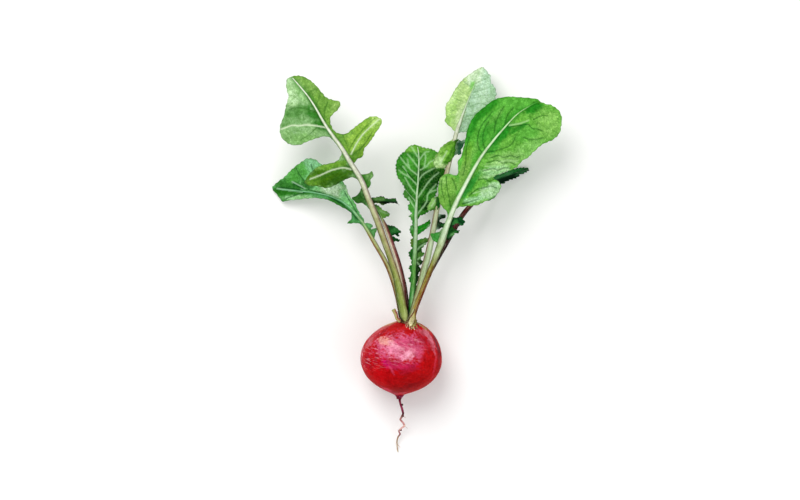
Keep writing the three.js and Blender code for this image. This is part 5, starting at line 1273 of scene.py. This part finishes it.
def globe_axes():
    """The globe's axis, from the taproot to the crown, and the two directions across it."""
    lean, tip = math.radians(GLOBE_LEAN), math.radians(GLOBE_TIP_UP)
    axis = np.array([math.sin(lean) * math.cos(tip), math.cos(lean) * math.cos(tip), math.sin(tip)])
    ring_x = np.array([math.cos(lean), -math.sin(lean), 0])
    return axis, ring_x, unit(np.cross(ring_x, axis))


AXIS, RING_X, RING_Z = globe_axes()


def on_ring(distance, radius, angle, shift=0.0):
    """Points about the globe's axis, at a distance along it."""
    distance, radius, angle = np.broadcast_arrays(distance, radius, angle)
    drift = np.where(distance > 0, SHOULDER_SHIFT, -FOOT_SHIFT) * distance ** 2 + shift
    place = np.array(GLOBE_CENTRE) + AXIS * distance[..., None]
    place = place + RING_X * (drift + np.cos(angle) * radius)[..., None]
    return place + RING_Z * (np.sin(angle) * radius)[..., None]


# Thin neck where the globe runs into the taproot, and the fine hair roots on it, as x, y, z, width
NECK = [[-0.6, -17.2, 15, 5], [-0.4, -18.4, 14.9, 4.1], [-0.5, -19.6, 14.6, 2.5], [-0.6, -20.8, 14.1, 1.5],
        [-0.65, -22, 13.6, 1]]
ROOTLETS = [
    [[-2, -43.5, 1.7, 0.3], [-1.2, -44.3, 1.5, 0.22], [-0.5, -45.2, 1.2, 0.14]],
    [[0.6, -29, 9, 0.3], [1.6, -29.8, 8.6, 0.22], [2.4, -30.2, 8.1, 0.12]],
    [[1.4, -34.5, 5.2, 0.3], [2.6, -35, 5, 0.2], [3.2, -35.8, 4.6, 0.12]],
]
TAPROOT_END = [-1.5, -47.6, 1, 0.4]

# Width of the taproot for each millimetre of its radius in the table: the first entries, then the rest
UPPER_COUNT = 3
UPPER_WIDTH = 1.35
LOWER_WIDTH = 1.6

# Colours from end to end of the taproot, the neck and a hair root, and of each nodule. The lighter third
# tone of the taproot and of the neck, between dark maroons, is a painted highlight.
ROOT_TONES = [
    0x6A0F28, 0x7A1C38, 0x8A3450, 0x4A0F1C, 0xB88880, 0xE0B0AC, 0xDCA8A4, 0xE4C0B4, 0x8A4A50, 0x94785C,
    0xA8987C, 0xB8A88C, 0xC4B898,
]
NECK_TONES = [0x7A1430, 0x6A1230, 0x8A2C50, 0x5A0A20, 0x5A0A20, 0x7A2038]
ROOTLET_TONES = [0xC49A8C, 0xCDB09C]
NODULE_TINTS = [0x4A4238, 0x3A2420, 0xE8CCB4, 0x5A2C28]
# Washes on the globe's upper half, as blended says. Besides the skin's own reds and tan shoulders they hold
# painted light: the pale pink patch on top is partly the skin's own paler pink and partly a painted
# highlight, the peach spot at its left is a painted highlight, the pale pink bands along the left and right
# rims are painted rim light, and the darker reds toward the bottom and along the right edge are painted
# shade.
GLOBE_WASHES_AND_PAINTED_LIGHT = [
    [-2, 14, 11, 3, 4, 0xB81C1E, 0.95], [-13.2, 10.6, 7, 1.5, 52, 0xB8404C, 0.45],
    [-15.6, 8, 5, 1.1, 58, 0xC07078, 0.45], [-8.5, 15.2, 6, 0.8, 26, 0xC4686C, 0.6],
    [-10, 12, 5, 0.7, 40, 0x9C1420, 0.6], [-0.2, 5.2, 12, 6.8, 0, 0xCE5A7E, 0.95],
    [-7.2, 8.2, 4, 2.2, -24, 0xE09C92, 0.9], [-2.5, 6.2, 5, 1.2, -28, 0xE4A0B4, 0.7],
    [4, 1.8, 4, 2.4, 30, 0xF0AAC0, 0.8], [-3.6, 3.4, 5, 2.4, -30, 0xDE84A2, 0.8],
    [3.4, 7.6, 7, 1.8, 0, 0xC04068, 0.6], [8.4, 3.4, 2.6, 4, 20, 0xCC5478, 0.6],
    [-7.2, -2.8, 3, 2.2, -40, 0xBE1466, 0.85], [0, -4, 9, 1.8, 0, 0xBA2452, 0.8],
    [-5, -5.4, 0.6, 3.4, 28, 0xC84C70, 0.6], [4.4, -6.2, 5, 1.4, 20, 0xB01E3C, 0.7],
    [7, -12, 13, 5.5, 15, 0xA60C0E, 0.85], [13.5, -2, 3, 8, 0, 0xB60E10, 0.85],
    [-12, -8, 6, 6, 30, 0xC00810, 0.8], [14.2, 10.4, 1, 5.6, 34, 0xDC90A4, 0.6],
    [10.4, 12.8, 3.4, 0.9, -35, 0xC8687C, 0.6], [11.4, 8.6, 1.4, 4, 24, 0xA81C2C, 0.7],
    [16, 5.4, 0.9, 4.6, 20, 0xCC6478, 0.6], [17.9, 7, 0.6, 6, 20, 0x5A1A2C, 0.75],
    [19, -1, 0.7, 6, 4, 0x7A1222, 0.6], [16.8, -4, 0.5, 5, -10, 0xC83A50, 0.5],
    [-19.6, 2.4, 0.5, 7, -6, 0xCC7078, 0.8], [-17, -1, 0.6, 4, -10, 0x9A0E16, 0.5],
    [-6.5, 17.1, 4.5, 0.8, 17, 0xC8A87C, 0.85], [10, 16.3, 4.4, 0.5, -34, 0xA8905C, 0.85],
    [-5.5, -16.6, 5, 0.7, -27, 0xD84A62, 0.7], [-1.2, -17.8, 4, 0.4, 8, 0xE4586A, 0.6],
    [1, -15.5, 10, 1.6, 20, 0x801016, 0.5],
]
NODULE_SIDES = 14
NODULE_RINGS = 9
NODULE_SHARE = 0.68
NODULE_SHIFT = 0.3


def globe_colour(points, profile, turn, far):
    """Washes on the upper half, a darker plain red below as painted shade, and a dark foot. Returns the
    foot's share besides.
    """
    colour = blended(points, 0xB40A10, GLOBE_WASHES_AND_PAINTED_LIGHT, 1.0, 2.6)
    plain = blended(points, 0xA80B12, [], 1.0)
    slope = np.repeat(np.gradient(profile[:, 1], profile[:, 0]), GLOBE_SIDES)
    facing_up = (RING_Z[2] * np.sin(turn) - AXIS[2] * slope) / np.sqrt(1 + slope ** 2)
    # Where the skin faces down, the washes and their painted highlight give way to the plain red, a little
    # darker as painted shade
    colour = mixed(plain, colour, smooth(-0.16, 0.04, facing_up)[:, None])
    foot = smooth(-17.5, -18.9, far)[:, None]
    return mixed(colour, linear(0x7A1230), foot), foot[:, 0]


def globe_part():
    """Points, colour, grain, streakiness and faces of the globe."""
    profile = along(GLOBE_PROFILE, even_stations(GLOBE_PROFILE, GLOBE_STEP))
    angle = around(GLOBE_SIDES)
    radius = profile[:, 1:] * (1 + 0.01 * np.sin(2 * angle + 1) + 0.006 * np.sin(3 * angle + 2))
    points = on_ring(profile[:, :1], radius, angle).reshape(-1, 3)
    bumps = 0.1 * ruffle(points, 7, 2.0) + 0.05 * ruffle(points, 2.2, 4.0)
    points = points + unit(points - np.array(GLOBE_CENTRE)) * bumps[:, None]
    points[:, 2] = np.maximum(points[:, 2], 0)
    turn, far = np.tile(angle, len(profile)), np.repeat(profile[:, 0], GLOBE_SIDES)
    slant = 0.22 * points[:, 0] * smooth(-8, -3, points[:, 0])
    grain = np.column_stack([np.cos(turn) * 2, np.sin(turn) * 2, (far + slant) * 1.15])
    colour, foot = globe_colour(points, profile, turn, far)
    left = smooth(-6, -11, points[:, 0]) * smooth(8, 2, np.abs(points[:, 1]))
    # The patch is the pale pink patch on top, partly the skin's own paler pink and partly painted highlight;
    # the streaks are strongest there and on the left side
    patch = smooth(1.25, 0.7, np.hypot((points[:, 0] + 0.5) / 12, (points[:, 1] - 4.5) / 8))
    streaky = np.clip(0.03 + 0.8 * patch + 0.8 * left, 0, 1) * (1 - foot)
    return points, colour, grain, streaky, tube_faces(len(profile), GLOBE_SIDES)


def stick_part(stick, sides, rough, tones, seed):
    """The same for the taproot, its neck or a hair root."""
    points, share, rings = rod(stick, sides, ROD_STEP, 1.0, rough, seed)
    points[:, 2] = np.maximum(points[:, 2], ROOT_FLOOR)
    tone = along([linear(t) for t in tones], share * (len(tones) - 1))
    tone = np.clip(tone * (1 + 0.25 * ruffle(points, 1.1, 6.0))[:, None], 0, 1)
    return points, tone, points * 0.8, np.full(len(points), 0.5), tube_faces(rings, sides)


def nodule_part(x, y, z, r, tint):
    """The same for a small uneven ball on the taproot."""
    u, v = np.meshgrid(around(NODULE_SIDES), np.linspace(0.05, math.pi - 0.05, NODULE_RINGS))
    ball = np.stack([np.cos(u) * np.sin(v), np.cos(v), np.sin(u) * np.sin(v)], axis=-1).reshape(-1, 3)
    points = ball[::-1] * r * NODULE_SHARE
    points = points * (1 + 0.18 * ruffle(points + [x, y, z], 0.8, 3.0))[:, None] + [x - NODULE_SHIFT, y, z]
    points[:, 2] = np.maximum(points[:, 2], ROOT_FLOOR)
    faces = [tuple(reversed(f)) for f in tube_faces(NODULE_RINGS, NODULE_SIDES)]
    return points, np.tile(linear(tint), (len(points), 1)), points * 0.8, np.full(len(points), 0.2), faces


def make_root():
    """Globe, neck, taproot, hair roots and nodules as one piece."""
    widths = [UPPER_WIDTH] * UPPER_COUNT + [LOWER_WIDTH] * (len(TAPROOT) - UPPER_COUNT)
    taproot = [[x, y, z, width * r] for width, (x, y, z, r) in zip(widths, TAPROOT)]
    sticks = [(taproot + [TAPROOT_END], 18, 0.14, ROOT_TONES), (NECK, 18, 0.1, NECK_TONES)]
    sticks += [(hair, 7, 0.1, ROOTLET_TONES) for hair in ROOTLETS]
    parts = [globe_part()]
    parts += [stick_part(*stick, n * 3.0) for n, stick in enumerate(sticks)]
    parts += [nodule_part(*nodule, tint) for nodule, tint in zip(NODULES, NODULE_TINTS)]
    faces, start = [], 0
    for part in parts:
        faces += [tuple(corner + start for corner in face) for face in part[4]]
        start += len(part[0])
    points, colour, grain, streaky = (np.concatenate([part[k] for part in parts]) for k in range(4))
    return piece("root_skin", "root", points, faces, root_material("root_skin"), floats={"streaky": streaky},
                 colours={"wash": colour}, vectors={"grain": grain})


def shoulder_at(radius):
    """Distance of the globe's shoulder along its axis at a radius."""
    profile = np.array([[19.2, 0]] + [row for row in GLOBE_PROFILE[::-1] if row[0] > 0])
    return np.interp(radius, profile[:, 1], profile[:, 0])


CROWN_WASHES = [
    [5.5, 16.5, 3, 2.5, 0, 0x9A8848, 0.8], [7.5, 17, 1.5, 1.5, 0, 0x7A6A34, 0.7],
    [2.5, 17.5, 1.5, 1.4, 0, 0xB08870, 0.7],
]
# Share of the lip's radius and of its thickness at each ring, from the middle under it to its top
LIP_SHAPE = [(0.5, 0), (0.75, 0), (0.9, 0), (1, 0.15), (1, 0.6), (0.94, 0.85), (0.85, 0.95), (0.75, 1)]
CROWN_SIDES = 160
LIP_TURN = -16
LIP_SHARE = 0.82
HANG_SHARE = 0.8
SPREAD_SHARE = 0.7


def make_crown():
    """Points, faces and colour of the collar that hangs over the shoulder in front."""
    angle = around(CROWN_SIDES)
    off = (angle - math.radians(LIP_FRONT + LIP_TURN) + math.pi) % (2 * math.pi) - math.pi
    torn = 1 - 0.1 * np.abs(np.sin(9 * angle + 0.8 * np.sin(5 * angle))) + 0.05 * np.sin(23 * angle)
    hang = LIP_HANG * HANG_SHARE * bell(off, math.radians(LIP_SPREAD * SPREAD_SHARE))
    lip = (LIP_RADIUS * LIP_SHARE + hang) * torn
    rings = []
    for share, rise in LIP_SHAPE:
        distance = shoulder_at(np.maximum(lip * share - CROWN_SHIFT, 0)) + SHOULDER_GAP * 0.6
        rings.append(on_ring(distance + rise * LIP_THICKNESS * 0.75, lip * share, angle, CROWN_SHIFT))
    top_radius = CROWN_RADIUS * (0.95 + 0.05 * np.sin(7 * angle))
    for distance, radius in ((CROWN_TOP - 0.1, top_radius), (CROWN_TOP, CROWN_RADIUS * 0.5)):
        rings.append(on_ring(distance, radius, angle, CROWN_SHIFT * 0.6))
    points = np.vstack(rings)
    points = points + 0.12 * np.column_stack([ruffle(points, 1.1, k) for k in (1, 2, 3)])
    return points, tube_faces(len(rings), CROWN_SIDES), blended(points, 0x7A5A34, CROWN_WASHES, 4.0)


# Torn remains of old leaf bases, the flared foot of the broad leaf, and dark strips that are painted
# shadow: the colour at each end, then the places from end to end as x, y and width. The first two have a
# height, the others lie on what is below.
SCALES_AND_SHADOW_STRIPS = [
    # Painted shadow: a near-black line along the left of the tall leaf's foot, then a dark strip between the
    # slender and the middle leaf's stalks
    (0x0E140A, 0x1A120A, (-1.5, 23.5, 0.5), (-0.7, 21.2, 1), (0.5, 19.5, 1.1), (1.9, 18.2, 0.6)),
    (0x3A1614, 0x0E0C08, (3.1, 31, 0.6), (3.4, 27, 1.6), (3.7, 23.5, 1.8), (4, 21.5, 0.8)),
    (0xA4B480, 0xD0C49C, (6.4, 24.6, 0.3), (5.5, 22.6, 0.8), (4.3, 20.7, 0.9), (3.2, 19, 0.8),
     (2.3, 17.9, 0.3)),
    (0x5A1E10, 0x6A2A20, (6.9, 24.6, 0.3), (5.9, 22.3, 0.5), (4.8, 20.5, 0.5), (3.7, 19, 0.4),
     (3.2, 17.6, 0.3)),
    (0xA4984C, 0xDCD4AC, (6.7, 22.6, 0.3), (6.2, 21, 1.4), (5.6, 19.2, 2.3), (4.9, 17.4, 2.4),
     (4.7, 16, 0.8)),
    (0xD8C8A0, 0xE0D0B4, (5.2, 20, 0.2), (4.5, 18.6, 0.8), (4, 17.3, 0.7), (3.9, 16.4, 0.3)),
    (0x7A6A2A, 0x98884C, (7.2, 21.3, 0.3), (7.1, 19.7, 1), (6.7, 17.6, 1.6), (6.5, 15.9, 0.7)),
    (0x7A2A20, 0xC88C7C, (2.7, 17.7, 0.5), (2.6, 16.7, 0.8), (2.1, 15.8, 0.3)),
    (0x9A6A48, 0xD8A898, (3.4, 16.9, 0.4), (3.2, 15.9, 0.7), (2.6, 15.1, 0.3)),
    (0xA87C54, 0xE0B4A0, (4.2, 16.4, 0.4), (4.2, 15.4, 0.7), (4.4, 14.4, 0.3)),
    (0x8C7440, 0xCCB088, (5.1, 16.1, 0.5), (5.4, 15.2, 0.8), (5.2, 14.2, 0.3)),
    (0x98804A, 0xD4BC98, (6.1, 16, 0.6), (6.3, 15, 0.8), (6.9, 14, 0.3)),
    (0x7A6430, 0xA88C58, (7.2, 16.6, 0.6), (7.8, 15.6, 0.7), (7.9, 14.7, 0.2)),
    # Painted shadow: a dark maroon line right of the broad leaf's flared foot, then near-black slivers
    # between the torn bits
    (0x4A1414, 0x5A161C, (8.2, 17, 0.4), (9.1, 16.1, 0.6), (10.2, 15.4, 0.2)),
    (0x3A060A, 0x4A0A10, (2.9, 16.2, 0.2), (3.6, 15.5, 0.5), (4.6, 14.9, 0.2)),
    (0x2A0608, 0x3A080C, (4.8, 15.3, 0.2), (5.3, 14.6, 0.4), (6, 14.2, 0.2)),
    (0x3A080C, 0x4A0A10, (6.9, 15, 0.2), (7.4, 14.6, 0.4), (8.4, 14.8, 0.2)),
    (0x4A1E12, 0x5A2A18, (-1.8, 18.8, 0.4), (-0.6, 18.6, 0.8), (0.8, 18.2, 0.7), (2.1, 18, 0.4)),
]
SHADOW_STRIP_HEIGHTS = {0: 26.2, 1: 20.6}
SCALE_SIDES = 14
SCALE_STEP = 0.25
SCALE_FLATNESS = 0.45
SCALE_ROUGHNESS = 0.16
SCALE_LIFT = 0.1
SCALE_DROP = 2.5


def add_scales_and_shadow_strips(points, faces, colour, below):
    """Adds the torn scales and the strips of painted shadow to the collar, each resting on the meshes below
    it.
    """
    trees = [bvhtree.BVHTree.FromPolygons(np.asarray(p).tolist(), f) for p, f in below + [(points, faces)]]

    def top_at(x, y):
        hits = [tree.ray_cast((x, y, 90), (0, 0, -1))[0] for tree in trees]
        return max([hit.z for hit in hits if hit] + [20])

    points, faces, colour = [points], list(faces), [colour]
    for n, (first, last, *places) in enumerate(SCALES_AND_SHADOW_STRIPS):
        tops = [SHADOW_STRIP_HEIGHTS.get(n) or top_at(x, y) + SCALE_LIFT for x, y, w in places]
        entries = [[x, y, max(top, np.median(tops) - SCALE_DROP), w] for (x, y, w), top in zip(places, tops)]
        p, share, rings = rod(entries, SCALE_SIDES, SCALE_STEP, SCALE_FLATNESS, SCALE_ROUGHNESS, n * 2.0)
        faces += tube_faces(rings, SCALE_SIDES, sum(len(part) for part in points))
        points.append(p)
        tone = mixed(linear(first), linear(last), share[:, None])
        colour.append(np.clip(tone * (1 + 0.5 * ruffle(p, 0.6, n * 1.0))[:, None], 0, 1))
    points, colour = np.vstack(points), np.vstack(colour)
    return piece("crown_collar", "crown", points, faces, stalk_material("crown_collar"),
                 colours={"wash": colour}, vectors={"grain": points * [2.2, 0.5, 2.2]})


STUB_SIDES = 20
STUB_FOOT = [-0.4, 18.3, 26.2, 1.9]
STUB_ROUGHNESS = 0.06


def make_stub():
    """Cut end of an old stalk, reddish on its right side and paler where it was cut."""
    p, share, rings = rod([STUB_FOOT] + STUB, STUB_SIDES, ROD_STEP, STALK_FLATNESS, STUB_ROUGHNESS, 1.0)
    u = np.tile(np.cos(around(STUB_SIDES)), rings)
    right = (smooth(-0.1, 0.3, u) * smooth(0.98, 0.8, u))[:, None]
    colour = mixed(linear(0xB4AE72), linear(0xA8564C), right)
    colour = mixed(colour, linear(0x9A9A50), smooth(0.9, 1.0, share)[:, None])
    return piece("stub_skin", "old_stalk_stub", p, tube_faces(rings, STUB_SIDES), stalk_material("stub_skin"),
                 colours={"wash": colour}, vectors={"grain": p * [2.5, 0.4, 2.5]})


# Floor and light, in metres
FLOOR_HALF = 15.0
FLOOR_DROP = -0.0002
LIGHT_AIM = (0, 0.05, 0)


def make_floor():
    mesh = bpy.data.meshes.new("floor")
    corners = [(-1, -1), (1, -1), (1, 1), (-1, 1)]
    mesh.from_pydata([(FLOOR_HALF * x, FLOOR_HALF * y, FLOOR_DROP) for x, y in corners], [], [(0, 1, 2, 3)])
    floor = bpy.data.objects.new("floor", mesh)
    s = Shader("floor")
    tint = s.noise(s.place(), 6.0, 2.0)
    mesh.materials.append(s.paint(s.mix(tint, (0.92, 0.92, 0.915, 1), (0.94, 0.94, 0.935, 1)), 0.8))
    bpy.context.collection.objects.link(floor)


def make_light(name, place, size, power, colour):
    data = bpy.data.lights.new(name, "AREA")
    data.shape, data.size, data.energy, data.color = "DISK", size, power, colour
    lamp = bpy.data.objects.new(name, data)
    lamp.location = place
    lamp.rotation_mode = "QUATERNION"
    lamp.rotation_quaternion = (Vector(LIGHT_AIM) - Vector(place)).to_track_quat("-Z", "Y")
    lamp.visible_camera = False
    bpy.context.collection.objects.link(lamp)


def make_world(strength):
    """Plain white light from all sides."""
    world = bpy.data.worlds.new("world")
    bpy.context.scene.world = world
    world.use_nodes = True
    background = world.node_tree.nodes["Background"]
    background.inputs["Color"].default_value = (1, 1, 1, 1)
    background.inputs["Strength"].default_value = strength


# What the camera frames, at the height of the leaves
VIEW_CENTRE = [-0.5, 54]
VIEW_WIDTH = 400
VIEW_HEIGHT = 27
LENS = 420.0
SENSOR = 36.0


def make_camera():
    """Straight down through a long lens, so the view is nearly free of perspective."""
    data = bpy.data.cameras.new("camera")
    data.lens, data.sensor_width, data.dof.use_dof = LENS, SENSOR, False
    data.clip_start, data.clip_end = 0.1, 60.0
    camera = bpy.data.objects.new("camera", data)
    height = VIEW_WIDTH * MM * LENS / SENSOR + VIEW_HEIGHT * MM
    camera.location = (VIEW_CENTRE[0] * MM, VIEW_CENTRE[1] * MM, height)
    bpy.context.collection.objects.link(camera)
    bpy.context.scene.camera = camera


make_camera()
make_floor()
make_light("key", (-0.4, 0.75, 1.3), size=1.0, power=13, colour=(1.0, 0.985, 0.97))
make_light("fill", (0.9, -0.4, 1.0), size=0.9, power=2.5, colour=(0.96, 0.98, 1.0))
make_world(strength=0.74)
bpy.context.scene.view_settings.view_transform = "Standard"

below = [make_root()]
make_stub()
for number, (name, leaf) in enumerate(LEAVES.items()):
    make_blade(name + "_leaf", name + "_blade", leaf, LOOKS[name], number * 11.0)
    below.append(make_stalk(name, leaf["line"], LOOKS[name], number * 7.0))
for number, (name, leaf) in enumerate(FOLDS.items()):
    make_blade(name, name[:name.rindex("_")] + "_blade", leaf, LOOKS[name], 5.0 + number)
add_scales_and_shadow_strips(*make_crown(), below)
